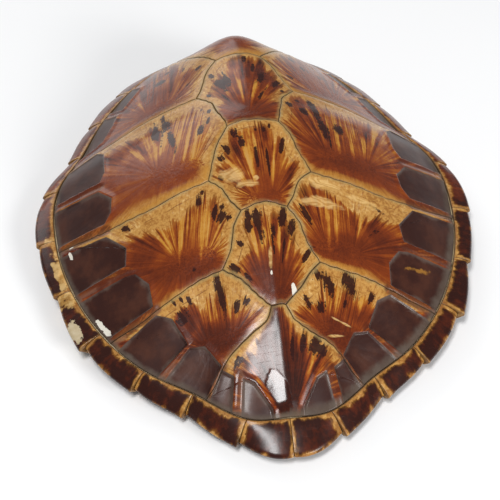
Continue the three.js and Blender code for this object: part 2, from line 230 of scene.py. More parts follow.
@dataclass(frozen=True)
class ShellForm:
    """The form of the whole shell, in mm: the dome, the groove round it and the rim."""

    half_length: float = 278.0
    tail_notch: float = 1.5
    half_width: float = 217.5
    crown: float = 134.0
    groove: float = 30.0
    head_lift: float = 8.0
    centre_y: float = 56.0
    fall_tail: float = 1.84
    fall_flank: float = 1.56
    fall_head: float = 2.8
    head_focus: float = 8.0
    hump: float = 14.5
    hump_half_width: float = 34.0
    hump_start: float = 60.0
    hump_run: float = 80.0
    hump_fade: float = 0.4
    keel: float = 3.9
    keel_half_width: float = 12.0
    keel_round: float = 3.6
    keel_start: float = -40.0
    keel_run: float = 90.0
    keel_fade: float = 0.04
    foot_lift: float = 10.0
    ends: tuple[SeamEnd, ...] = field(init=False)
    groove_ring: Ring = field(init=False)
    edge_ring: Ring = field(init=False)

    def __post_init__(self) -> None:
        """Works out the rings from the seam ends, listed from the head round to the tail."""
        ends = (
            SeamEnd((0, 255), (0, self.half_length, 17)),
            SeamEnd((32, 251), (38, 275, 17)),
            SeamEnd((77, 235), (96, 251, 16)),
            SeamEnd((114, 204), (128, 223, 16)),
            SeamEnd((145, 164), (160, 172, 18)),
            SeamEnd((170, 113), (183, 116, 22)),
            SeamEnd((196, 64), (210.5, 66.5, 23)),
            SeamEnd((200, -4), (self.half_width, -6, 27)),
            SeamEnd((187, -72), (202, -74, 26)),
            SeamEnd((162, -129), (178, -137, 24)),
            SeamEnd((125, -177.5), (136, -187, 20)),
            SeamEnd((83, -208.5), (92, -219, 17)),
            SeamEnd((38, -242), (47, -256, 17)),
            SeamEnd((0, -245), (0, self.tail_notch - self.half_length, 17)),
        )
        object.__setattr__(self, "ends", ends)
        object.__setattr__(self, "groove_ring", Ring([end.groove for end in ends], self.centre_y))
        object.__setattr__(self, "edge_ring", Ring([end.edge[:2] for end in ends], self.centre_y))

    def angle(self, x: Array, y: Array) -> Array:
        """Returns the angle about the dome's high point: 0 at the tail, growing towards +X."""
        return np.arctan2(x, self.centre_y - y)

    def groove_height(self, angle: Array) -> Array:
        """Returns the height of the groove at an angle."""
        return self.groove + self.head_lift * ease((-np.cos(angle) - 0.5) / 0.5)

    def share(self, x: Array, y: Array) -> Array:
        """Returns how far out a plan point is: 0 at the dome's high point, 1 on the groove."""
        return np.hypot(x, y - self.centre_y) / self.groove_ring(self.angle(x, y))

    def height(self, x: Array, y: Array) -> Array:
        """Returns the height of the plain dome over plan points."""
        angle = self.angle(x, y)
        share = np.minimum(self.share(x, y), 1.0)
        foot = self.groove_height(angle)
        towards_tail = np.cos(angle)
        tail = np.clip(towards_tail, 0, 1)
        head = np.clip(-towards_tail, 0, 1) ** self.head_focus
        fall = self.fall_flank + (self.fall_tail - self.fall_flank) * tail
        fall = fall + (self.fall_head - self.fall_flank) * head
        dome = foot + (self.crown - foot) * (1 - share**fall)
        ahead = (y - self.centre_y - self.hump_start) / self.hump_run
        hump = self.hump * np.exp(-((x / self.hump_half_width) ** 2)) * ease(ahead)
        behind = (self.keel_start - y) / self.keel_run
        crease = np.sqrt(x * x + self.keel_round**2) - self.keel_round
        keel = self.keel * np.exp(-crease / self.keel_half_width) * ease(behind)
        return dome + hump * ease((1 - share) / self.hump_fade) + keel * ease((1 - share) / self.keel_fade)

    def normal(self, x: Array, y: Array) -> Array:
        """Returns the plain dome's upward normals over plan points, as an (n, 3) array."""
        step, inward = 2.0, 0.99
        px, py = x * inward, self.centre_y + (y - self.centre_y) * inward
        dx = (self.height(px + step, py) - self.height(px - step, py)) / (2 * step)
        dy = (self.height(px, py + step) - self.height(px, py - step)) / (2 * step)
        n = np.stack([-dx, -dy, np.ones_like(dx)], axis=-1)
        return n / np.linalg.norm(n, axis=-1, keepdims=True)

    def below(self, x: Array, y: Array, deep: Array | float) -> Array:
        """Returns the points that lie a depth below the plain dome, along its normals."""
        level = np.stack([x, y, self.height(x, y)], axis=-1)
        return level - self.normal(x, y) * np.reshape(deep, (-1, 1))

    def ring_point(self, ring: Ring, edge: bool, place: Array | float) -> Array:
        """Finds points of a ring by their place, counted in seam ends from the head.

        Args:
            ring: the groove's or the edge's ring.
            edge: whether the places are those of the outer edge.
            place: 0 at the head to 13 at the tail; negative places are on the left.

        Returns:
            The plan points, as an (n, 2) array.
        """
        at = np.abs(np.atleast_1d(np.asarray(place, float)))
        side = np.where(np.atleast_1d(place) < 0, -1.0, 1.0)
        points = np.array([end.edge[:2] if edge else end.groove for end in self.ends], float)
        knots = np.arctan2(points[:, 0], self.centre_y - points[:, 1])
        angle = np.interp(at, np.arange(len(knots)), knots)
        reach = ring(angle)
        return np.stack([side * np.sin(angle) * reach, self.centre_y - np.cos(angle) * reach], axis=-1)

    def groove_points(self, place: Array | float) -> Array:
        """Returns the groove's plan points at places."""
        return self.ring_point(self.groove_ring, False, place)

    def edge_points(self, place: Array | float) -> Array:
        """Returns the outer edge's plan points at places."""
        return self.ring_point(self.edge_ring, True, place)

    def edge_height(self, place: Array) -> Array:
        """Returns the height of the outer edge's top at places."""
        heights = [end.edge[2] for end in self.ends]
        return np.interp(np.abs(place), np.arange(len(heights)), heights)

    def foot_height(self, angle: Array) -> Array:
        """Returns the height of the rim's underside: nought along the flanks, raised at both ends."""
        tail = ease((np.cos(angle) - 0.8) / 0.19)
        head = ease((-np.cos(angle) - 0.5) / 0.45)
        return self.foot_lift * (tail + head)


class RimStations:
    """What the rim's sections stand on, for each of some places round the rim."""

    def __init__(self, form: ShellForm, places: Array) -> None:
        """Works out the stations.

        Args:
            form: the shell's form.
            places: their places, counted in seam ends from the head.
        """
        self.count = len(places)
        self.groove = form.groove_points(places)
        span = form.edge_points(places) - self.groove
        self.width = np.linalg.norm(span, axis=1)
        self.outwards = span / self.width[:, None]
        angle = form.angle(self.groove[:, 0], self.groove[:, 1])
        self.top = form.groove_height(angle)
        self.foot = form.foot_height(angle)
        self.edge = form.edge_height(places)


# Where the dome's seams meet the groove, as places counted in seam ends from the head.
MEETS: dict[str, float] = {"v1c1": 1.5, "c1c2": 5.5, "c2c3": 7.25, "c3c4": 9.25, "v5c4": 11.25}
# Seams of the dome, right half, in mm. v and c are vertebral and costal, and 1 is at the head.
SEAMS: dict[str, list[Plan]] = {
    "v1v2": [(0, 146), (12, 145.5), (22.5, 143.5)],
    "v2v3": [(0, 38), (12, 37.5), (25, 34.5)],
    "v3v4": [(0, -60), (9, -61.5), (22.5, -65)],
    "v4v5": [(0, -156), (6.5, -156.5)],
    "v1c1": [(22.5, 143.5), (34, 162), (48, 188), (59, 215)],
    "v2c1": [(22.5, 143.5), (34.5, 128), (43, 107.5), (50, 94.5)],
    "v2c2": [(50, 94.5), (36, 77), (33, 63), (25, 34.5)],
    "v3c2": [(25, 34.5), (35, 15.5), (41, -4), (48.5, -25)],
    "v3c3": [(48.5, -25), (36, -37.5), (30, -52), (22.5, -65)],
    "v4c3": [(22.5, -65), (31.5, -79.5), (36, -98.5), (46, -116)],
    "v4c4": [(46, -116), (33, -128), (22, -141.5), (6.5, -156.5)],
    "v5c4": [(6.5, -156.5), (12.5, -168.5), (27.5, -178.5), (44, -188.5), (53, -197.5), (63, -210)],
    "c1c2": [(50, 94.5), (80, 97), (113, 96), (150, 94)],
    "c2c3": [(48.5, -25), (80, -29), (118, -33), (160, -31)],
    "c3c4": [(46, -116), (82.5, -123), (118, -135)],
}
# The bare hollows between the rib ends, right half, from head to tail. The first and last
# numbers are places on the groove, and the corners between them are on the dome.
HOLLOWS: list[Hollow] = [
    (2.9, [(100, 190), (112, 172), (122, 160)], 3.75),
    (3.95, [(128, 152), (134, 135), (146, 112)], 5.3),
    (5.6, [(152, 90), (145, 79), (146, 46), (152, 34)], 6.3),
    (6.45, [(153, 22), (141, 4), (143, -13), (150, -23)], 7.15),
    (7.35, [(149, -38), (131, -61), (133, -79)], 8.1),
    (8.27, [(134, -89), (125, -91), (113, -106), (111, -128)], 9.13),
    (9.4, [(109, -136), (95, -144), (83, -169)], 10.22),
    (10.38, [(82, -172), (68, -175), (55, -196)], 11.22),
    (11.3, [(56, -198), (45, -207)], 11.75),
    (11.9, [(38, -210), (28, -216), (14, -238)], 12.66),
]


class DomePlan:
    """The plan of the dome: smooth outlines of its scutes, its hollows and its ribs."""

    SPACING = 1.3
    OVERRUN = 1.02
    PLACE_LENGTH = 45.0

    def __init__(self, form: ShellForm) -> None:
        """Draws each seam once, so that neighbours share it.

        Args:
            form: the shell's form.
        """
        self.form = form
        self.runs: dict[str, Array] = {}
        for name, points in SEAMS.items():
            ends = list(points)
            if name in MEETS:
                ends.append(tuple(form.groove_points(MEETS[name])[0]))
            self.runs[name] = smooth_run(ends, self.SPACING)
        self.hollows = [self._hollow(entry) for entry in HOLLOWS]
        self.flanks = [self._flanks(entry) for entry in HOLLOWS]
        self.ribs = [self._rib(before, after) for before, after in zip(HOLLOWS, HOLLOWS[1:])]

    def _hollow(self, entry: Hollow) -> Array:
        """Returns a hollow's corners, closed along the groove."""
        first, corners, last = entry
        groove = self.form.groove_points(np.linspace(last, first, 5))
        middle = [0.0, self.form.centre_y]
        out = (groove - middle) * self.OVERRUN + middle
        return np.vstack([np.array(corners, float), out])

    def _flanks(self, entry: Hollow) -> tuple[list[Plan], list[Plan]]:
        """Returns a hollow's front edge and its rear edge."""
        first, corners, last = entry
        ends = self.form.groove_points(np.array([first, last]))
        start, stop = (tuple(map(float, point)) for point in ends)
        return [start, corners[0]], [corners[-1], stop]

    def _rib(self, before: Hollow, after: Hollow) -> list[Plan]:
        """Returns the centre line of the rib between two hollows, from its inner end outwards."""
        inner = mix(np.array(before[1][-1], float), np.array(after[1][0], float), 0.5)
        outer = self.form.groove_points((before[2] + after[0]) / 2)[0]
        return [(float(inner[0]), float(inner[1])), (float(outer[0]), float(outer[1]))]

    def groove_run(self, first: float, last: float) -> Array:
        """Returns the groove between two places of one side."""
        count = math.ceil(self.PLACE_LENGTH * abs(last - first) / self.SPACING)
        return self.form.groove_points(np.linspace(first, last, max(3, count)))

    def vertebral(self, number: int) -> Drawn:
        """Draws a vertebral scute's outline.

        Args:
            number: its number, 1 at the head.

        Returns:
            The outline, anticlockwise from above, and the number of the run that each point is on.
            The left half's runs are numbered on from the right half's.
        """
        s = self.runs
        tail = float(len(self.form.ends) - 1)
        right = {
            1: [self.groove_run(0, MEETS["v1c1"]), s["v1c1"][::-1], s["v1v2"][::-1]],
            2: [s["v1v2"], s["v2c1"], s["v2c2"], s["v2v3"][::-1]],
            3: [s["v2v3"], s["v3c2"], s["v3c3"], s["v3v4"][::-1]],
            4: [s["v3v4"], s["v4c3"], s["v4c4"], s["v4v5"][::-1]],
            5: [s["v4v5"], s["v5c4"], self.groove_run(MEETS["v5c4"], tail)],
        }[number]
        edge = np.vstack([chain(*right), right[-1][-1:]])
        run = np.append(run_numbers(right), len(right) - 1)
        outline = np.vstack([edge[::-1][:-1], (edge * [-1, 1])[:-1]])
        return outline, np.concatenate([run[::-1][:-1], (run + len(right))[:-1]])

    def costal(self, number: int, side: Side) -> Drawn:
        """Draws a costal scute's outline.

        Args:
            number: its number, 1 at the head.
            side: its side.

        Returns:
            The outline, anticlockwise from above, and the number of the run that each point is on.
        """
        s, m = self.runs, MEETS
        runs = {
            1: [s["v1c1"], self.groove_run(m["v1c1"], m["c1c2"]), s["c1c2"][::-1], s["v2c1"][::-1]],
            2: [
                s["c1c2"],
                self.groove_run(m["c1c2"], m["c2c3"]),
                *(s[name][::-1] for name in ("c2c3", "v3c2", "v2c2")),
            ],
            3: [
                s["c2c3"],
                self.groove_run(m["c2c3"], m["c3c4"]),
                *(s[name][::-1] for name in ("c3c4", "v4c3", "v3c3")),
            ],
            4: [s["c3c4"], self.groove_run(m["c3c4"], m["v5c4"]), s["v5c4"][::-1], s["v4c4"][::-1]],
        }[number]
        outline, run = chain(*runs), run_numbers(runs)
        if side is Side.RIGHT:
            return outline[::-1], run[::-1]
        return outline * [-1, 1], run

    def hollow_depth(self, x: Array, y: Array) -> Array:
        """Returns how far plan points lie inside the nearest hollow, in mm, negative outside."""
        return self.hollow_shape(x, y)[0]

    def hollow_shape(self, x: Array, y: Array) -> tuple[Array, Array]:
        """Measures the nearest hollow at plan points.

        Args:
            x: the points' x.
            y: the points' y.

        Returns:
            The distance inside it, and how deep it is there: 0.35 along its front rib, 1 along the rear.
        """
        across = np.abs(x)
        best, slope = np.full(np.shape(x), -1e3), np.full(np.shape(x), 0.7)
        for corners, (front, rear) in zip(self.hollows, self.flanks):
            depth = inside_distance(across, y, corners)
            ahead, behind = line_distance(across, y, front), line_distance(across, y, rear)
            here = mix(0.35, 1.0, ease(ahead / (ahead + behind + 1e-6) * 1.15))
            slope = np.where(depth > best, here, slope)
            best = np.maximum(best, depth)
        return best, slope

    def wobble(self, x: Array, y: Array) -> tuple[Array, Array]:
        """Moves plan points a little, since no shell grows quite evenly.

        Args:
            x: the points' x.
            y: the points' y.

        Returns:
            The moved x and y. Points near the groove stay where they are.
        """
        hold = ease((1.0 - self.form.share(x, y)) / 0.18)
        dx = 1.1 * np.sin(y / 31.0 + x / 47.0) + 0.55 * np.sin(y / 9.5 - x / 13.0 + 1.0)
        dy = 1.0 * np.sin(x / 29.0 - y / 53.0 + 0.7) + 0.55 * np.sin(x / 8.7 + y / 12.0)
        fine = 0.22 * np.sin(x / 2.3 + y / 3.1) + 0.18 * np.sin(x / 1.7 - y / 2.6 + 2.0)
        return x + (dx + fine) * hold, y + (dy + fine) * hold


# ---------------------------------------------------------------- node trees


FLOAT, COLOUR, VECTOR = "NodeSocketFloat", "NodeSocketColor", "NodeSocketVector"
WHOLE, SHAPE, DRESS = "NodeSocketInt", "NodeSocketGeometry", "NodeSocketMaterial"


class Sheet:
    """A node tree with short ways to add and link nodes."""

    def __init__(self, tree: Tree) -> None:
        """Keeps the tree."""
        self.tree = tree

    def node(self, kind: str, **settings: object) -> Node:
        """Adds a node and sets its properties."""
        made = self.tree.nodes.new(kind)
        for key, value in settings.items():
            setattr(made, key, value)
        return made

    def feed(self, socket: Socket, value: object) -> None:
        """Links a socket to an input, or sets the input's own value."""
        if isinstance(value, Socket):
            self.tree.links.new(value, socket)
        elif value is not None:
            socket.default_value = value

    def wire(self, node: Node, values: dict[str, object] | dict[int, object]) -> Node:
        """Feeds inputs of a node, by name or by number, and returns the node."""
        for key, value in values.items():
            self.feed(node.inputs[key], value)
        return node

    def maths(
        self, operation: str, a: object, b: object = None, c: object = None, clamp: bool = False
    ) -> Socket:
        """Adds a Math node and returns its output."""
        made = self.node("ShaderNodeMath", operation=operation, use_clamp=clamp)
        return self.wire(made, {0: a, 1: b, 2: c}).outputs[0]

    def times(self, a: object, b: object) -> Socket:
        """Returns a times b."""
        return self.maths("MULTIPLY", a, b)

    def plus(self, a: object, b: object, clamp: bool = False) -> Socket:
        """Returns a plus b."""
        return self.maths("ADD", a, b, clamp=clamp)

    def minus(self, a: object, b: object, clamp: bool = False) -> Socket:
        """Returns a less b."""
        return self.maths("SUBTRACT", a, b, clamp=clamp)

    def scaled(self, value: object, factor: object, offset: object) -> Socket:
        """Returns a value times a factor, plus an offset."""
        return self.maths("MULTIPLY_ADD", value, factor, offset)

    def about(self, noise: object, factor: object) -> Socket:
        """Returns noise about nought, times a factor."""
        return self.times(self.minus(noise, 0.5), factor)

    def blend(self, share: object, a: object, b: object) -> Socket:
        """Mixes two colours and returns the result."""
        made = self.node("ShaderNodeMix", data_type="RGBA")
        return self.wire(made, {0: share, 6: a, 7: b}).outputs[2]

    def step(self, value: object, low: object, high: object) -> Socket:
        """Returns the smooth step of a value between two limits."""
        made = self.node("ShaderNodeMapRange", interpolation_type="SMOOTHSTEP")
        return self.wire(made, {"Value": value, "From Min": low, "From Max": high}).outputs[0]

    def noise(
        self, vector: object, scale: object, detail: float = 3.0, w: object = None, rough: float = 0.55
    ) -> Socket:
        """Returns noise between about 0.25 and 0.75."""
        made = self.node("ShaderNodeTexNoise", noise_dimensions="3D" if w is None else "4D")
        self.wire(made, {"Vector": vector, "Scale": scale, "Detail": detail, "Roughness": rough})
        if w is not None:
            self.feed(made.inputs["W"], w)
        return made.outputs["Fac"]

    def stretched(self, vector: object, scale: object) -> Socket:
        """Returns a vector times three factors."""
        made = self.node("ShaderNodeVectorMath", operation="MULTIPLY")
        return self.wire(made, {0: vector, 1: scale}).outputs[0]

    def parts(self, vector: object) -> list[Socket]:
        """Splits a vector into its three numbers."""
        return list(self.wire(self.node("ShaderNodeSeparateXYZ"), {0: vector}).outputs)

    def attribute(self, name: str, output: str = "Vector") -> Socket:
        """Reads a vertex attribute."""
        made = self.node("ShaderNodeAttribute", attribute_name=name, attribute_type="GEOMETRY")
        return made.outputs[output]

    def emboss(self, shader: Node, height: Socket, strength: float, depth: float) -> None:
        """Gives a shader a bump, with its depth in mm."""
        bump = self.wire(self.node("ShaderNodeBump"), {"Strength": strength, "Distance": depth * MM})
        self.feed(bump.inputs["Height"], height)
        self.feed(shader.inputs["Normal"], bump.outputs["Normal"])

    def object_place(self) -> Socket:
        """Returns Object coordinates."""
        return self.node("ShaderNodeTexCoord").outputs["Object"]

    def dress(self, geometry: Socket, material: Socket, sink: Node) -> None:
        """Ends a geometry tree: makes instances real, sets their material and hands them on."""
        real = self.wire(self.node("GeometryNodeRealizeInstances"), {"Geometry": geometry})
        worn = {"Geometry": real.outputs["Geometry"], "Material": material}
        dressed = self.wire(self.node("GeometryNodeSetMaterial"), worn)
        self.feed(sink.inputs["Geometry"], dressed.outputs["Geometry"])


def node_group(
    name: str, kind: str, inputs: dict[str, str], outputs: dict[str, str]
) -> tuple[Sheet, Node, Node]:
    """Starts a node group.

    Args:
        name: its name.
        kind: its kind of tree.
        inputs: the kind of each input's socket.
        outputs: the kind of each output's socket.

    Returns:
        Its sheet, its input node and its output node.
    """
    tree = bpy.data.node_groups.new(name, kind)
    for way, sockets in (("INPUT", inputs), ("OUTPUT", outputs)):
        for label, socket in sockets.items():
            tree.interface.new_socket(label, in_out=way, socket_type=socket)
    sheet = Sheet(tree)
    return sheet, sheet.node("NodeGroupInput"), sheet.node("NodeGroupOutput")


def new_material(name: str) -> tuple[Material, Sheet, Node]:
    """Makes a material and returns it, its sheet and its Principled BSDF."""
    material = bpy.data.materials.new(name)
    material.use_nodes = True
    return material, Sheet(material.node_tree), material.node_tree.nodes["Principled BSDF"]


def grow(piece: Piece, tree: Tree, values: dict[str, object]) -> None:
    """Gives a piece a Geometry Nodes modifier.

    Args:
        piece: the piece.
        tree: the node tree.
        values: what each named input of the tree is set to.
    """
    modifier = piece.modifiers.new(tree.name, "NODES")
    modifier.node_group = tree
    sockets = [item for item in tree.interface.items_tree if item.in_out == "INPUT"]
    ids = {item.name: item.identifier for item in sockets}
    for name, value in values.items():
        modifier[ids[name]] = value


# ---------------------------------------------------------------- meshes


def place_object(name: str, data: bpy.types.ID) -> Piece:
    """Makes an object of some data and links it to the scene."""
    made = bpy.data.objects.new(name, data)
    bpy.context.scene.collection.objects.link(made)
    return made


def set_field(mesh: bpy.types.Mesh, key: str, values: Array) -> None:
    """Gives a mesh a named value at each vertex, from an (n,) or an (n, 3) array."""
    kind, slot = ("FLOAT_VECTOR", "vector") if values.ndim == 2 else ("FLOAT", "value")
    layer = mesh.attributes.new(key, kind, "POINT")
    layer.data.foreach_set(slot, values.astype(np.float32).ravel())


def smooth_mesh(mesh: bpy.types.Mesh) -> None:
    """Shades every face of a mesh smooth."""
    mesh.polygons.foreach_set("use_smooth", [True] * len(mesh.polygons))


def build_mesh(name: str, points: Array, faces: list[list[int]], fields: dict[str, Array]) -> Piece:
    """Makes a smooth-shaded object from points in mm.

    Args:
        name: the object's name.
        points: vertices in mm, as an (n, 3) array.
        faces: vertex indices of each face.
        fields: named values of each vertex: (n,) arrays or (n, 3) arrays.

    Returns:
        The object, linked to the scene.
    """
    mesh = bpy.data.meshes.new(name)
    mesh.from_pydata((points * MM).tolist(), [], faces)
    for key, values in fields.items():
        set_field(mesh, key, values)
    smooth_mesh(mesh)
    mesh.update()
    return place_object(name, mesh)


def ring_faces(around: int, rings: int) -> Array:
    """Lists the quads between closed rings of vertices, each inside the last, facing up.

    Args:
        around: vertices in a ring.
        rings: number of rings.

    Returns:
        The quads, as an (n, 4) array.
    """
    i = np.arange(around)
    j = (i + 1) % around
    rows = [np.stack([i, j, j + around, i + around], axis=1) + r * around for r in range(rings - 1)]
    return np.vstack(rows)


def fan_faces(start: int, around: int, tip: int, up: bool = True) -> list[list[int]]:
    """Lists the triangles between a ring of vertices and one vertex in its middle.

    Args:
        start: the ring's first vertex.
        around: vertices in the ring.
        tip: the middle vertex.
        up: whether they face up.

    Returns:
        The triangles.
    """
    i = start + np.arange(around)
    j = start + (np.arange(around) + 1) % around
    pair = [i, j] if up else [j, i]
    return np.stack([*pair, np.full(around, tip)], axis=1).tolist()


def evaluated_mesh(piece: Piece) -> bpy.types.Mesh:
    """Returns what a piece's modifiers make of it, as a new mesh."""
    graph = bpy.context.evaluated_depsgraph_get()
    shown = piece.evaluated_get(graph)
    return bpy.data.meshes.new_from_object(shown, preserve_all_data_layers=True, depsgraph=graph)


def plain_copy(piece: Piece) -> None:
    """Turns a piece's evaluated modifiers into its own plain mesh, and removes them."""
    mesh = evaluated_mesh(piece)
    old = piece.data
    piece.modifiers.clear()
    piece.data = mesh
    mesh.name = piece.name
    bpy.data.meshes.remove(old)


class HornRelief:
    """A Geometry Nodes tree that gives horn its faint growth ridges, and its material."""

    RIDGE_SCALE = 7.0
    SWELL_SCALE = 42.0

    def __init__(self) -> None:
        """Builds the tree once."""
        numbers = ("Ridge depth", "Ridge scale", "Swell depth", "Swell scale", "Seed")
        inputs = {"Geometry": SHAPE, **dict.fromkeys(numbers, FLOAT), "Material": DRESS}
        sheet, source, sink = node_group("Horn relief", "GeometryNodeTree", inputs, {"Geometry": SHAPE})
        g = source.outputs

        def swing(vector: Socket, kind: str) -> Socket:
            """Returns noise about nought, times the depth of its kind."""
            noise = sheet.noise(vector, g[f"{kind} scale"], 3.0, g["Seed"], 0.5)
            return sheet.about(noise, g[f"{kind} depth"])

        def named(key: str) -> Socket:
            """Reads a vector attribute."""
            made = sheet.node("GeometryNodeInputNamedAttribute", data_type="FLOAT_VECTOR")
            return sheet.wire(made, {"Name": key}).outputs["Attribute"]

        ridges = swing(named("ray"), "Ridge")
        swells = swing(sheet.node("GeometryNodeInputPosition").outputs[0], "Swell")
        rise = sheet.times(sheet.plus(ridges, swells), sheet.parts(named("growth"))[2])
        normal = sheet.node("GeometryNodeInputNormal").outputs[0]
        offset = sheet.node("ShaderNodeVectorMath", operation="SCALE")
        sheet.wire(offset, {0: normal, "Scale": rise})
        move = sheet.node("GeometryNodeSetPosition")
        sheet.wire(move, {"Geometry": g["Geometry"], "Offset": offset.outputs[0]})
        sheet.dress(move.outputs["Geometry"], g["Material"], sink)
        self.tree = sheet.tree

    def apply(self, piece: Piece, material: Material, seed: float, depth: float, swell: float) -> None:
        """Raises the relief on a piece and makes the result its plain mesh.

        Args:
            piece: the scute.
            material: its finish.
            seed: picks the ridges.
            depth: height of the growth ridges, in mm.
            swell: height of the broad swells, in mm.
        """
        values = {
            "Ridge depth": depth * MM,
            "Ridge scale": self.RIDGE_SCALE,
            "Swell depth": swell * MM,
            "Swell scale": self.SWELL_SCALE,
            "Seed": seed,
            "Material": material,
        }
        grow(piece, self.tree, values)
        plain_copy(piece)


# ---------------------------------------------------------------- markings of the horn


@dataclass(frozen=True)
class Mark:
    """A patch of other colour in the horn, in mm on the plan.

    It is drawn out along the growth ray through its middle, unless turn gives its direction in
    degrees from +X.
    """

    x: float
    y: float
    half_length: float
    half_width: float
    turn: float | None = None
    strength: float = 1.0

    def depth(self, x: Array, y: Array, focus: Array) -> Array:
        """Measures how deep plan points lie in the mark.

        Args:
            x: the points' x.
            y: the points' y.
            focus: the growth focus of the scute.

        Returns:
            1.6 in its middle, 0.6 on its outline and less outside, less what its strength lacks.
        """
        ray = math.atan2(self.y - focus[1], self.x - focus[0])
        turn = ray if self.turn is None else math.radians(self.turn)
        along = (x - self.x) * math.cos(turn) + (y - self.y) * math.sin(turn)
        across = (y - self.y) * math.cos(turn) - (x - self.x) * math.sin(turn)
        return 0.6 + self.strength - np.hypot(along / self.half_length, across / self.half_width)


@dataclass(frozen=True)
class Growth:
    """How one scute of the dome grew.

    middle is the centre of its facets and focus the line that its rays leave. borders are the
    widths of its amber border in mm, one for each run of its outline. warmth shifts the horn
    between dark and orange. blotches are dark, flakes pale, glints amber, shades calm and chips
    bare, save the two on the fourth vertebral, which are painted highlights. slicks are where a
    layer has come off and left a smoother, lower face. gloom is how much darker the calm horn is.
    """

    middle: Plan
    focus: tuple[Plan, Plan]
    borders: tuple[float, ...]
    warmth: float = 0.0
    blotches: tuple[Mark, ...] = ()
    flakes: tuple[Mark, ...] = ()
    glints: tuple[Mark, ...] = ()
    shades: tuple[Mark, ...] = ()
    chips: tuple[Mark, ...] = ()
    slicks: tuple[Mark, ...] = ()
    gloom: float = 0.06

    def root(self, x: Array | float, y: Array | float, sign: int) -> tuple[Array, Array]:
        """Finds where on the focus line the rays through plan points start.

        Args:
            x: the points' x.
            y: the points' y.
            sign: the side's sign.

        Returns:
            The x and y of those places.
        """
        (ax, ay), (bx, by) = self.focus
        ax, bx = ax * sign, bx * sign
        dx, dy = bx - ax, by - ay
        t = np.clip(((x - ax) * dx + (y - ay) * dy) / (dx * dx + dy * dy + 1e-6), 0.0, 1.0)
        return ax + t * dx, ay + t * dy

    def deepest(self, marks: tuple[Mark, ...], x: Array, y: Array, sign: int) -> Array:
        """Returns how deep plan points lie in the nearest of some marks, and -1 far from all."""
        depths = [mark.depth(x, y, np.array(self.root(mark.x, mark.y, sign))) for mark in marks]
        return np.max([np.full_like(x, -1.0), *depths], axis=0)


def spread(seed: int, box: tuple[float, float, float, float], count: int) -> tuple[Mark, ...]:
    """Scatters small blotches over a part of the shell.

    Args:
        seed: picks the scatter.
        box: least x, least y, greatest x and greatest y.
        count: number of blotches.

    Returns:
        The blotches.
    """
    rng = np.random.default_rng(seed)
    xs, ys = rng.uniform(box[0], box[2], count), rng.uniform(box[1], box[3], count)
    return tuple(
        Mark(float(x), float(y), float(a), float(b), strength=0.8)
        for x, y, a, b in zip(xs, ys, rng.uniform(2.5, 6.0, count), rng.uniform(1.2, 3.0, count))
    )


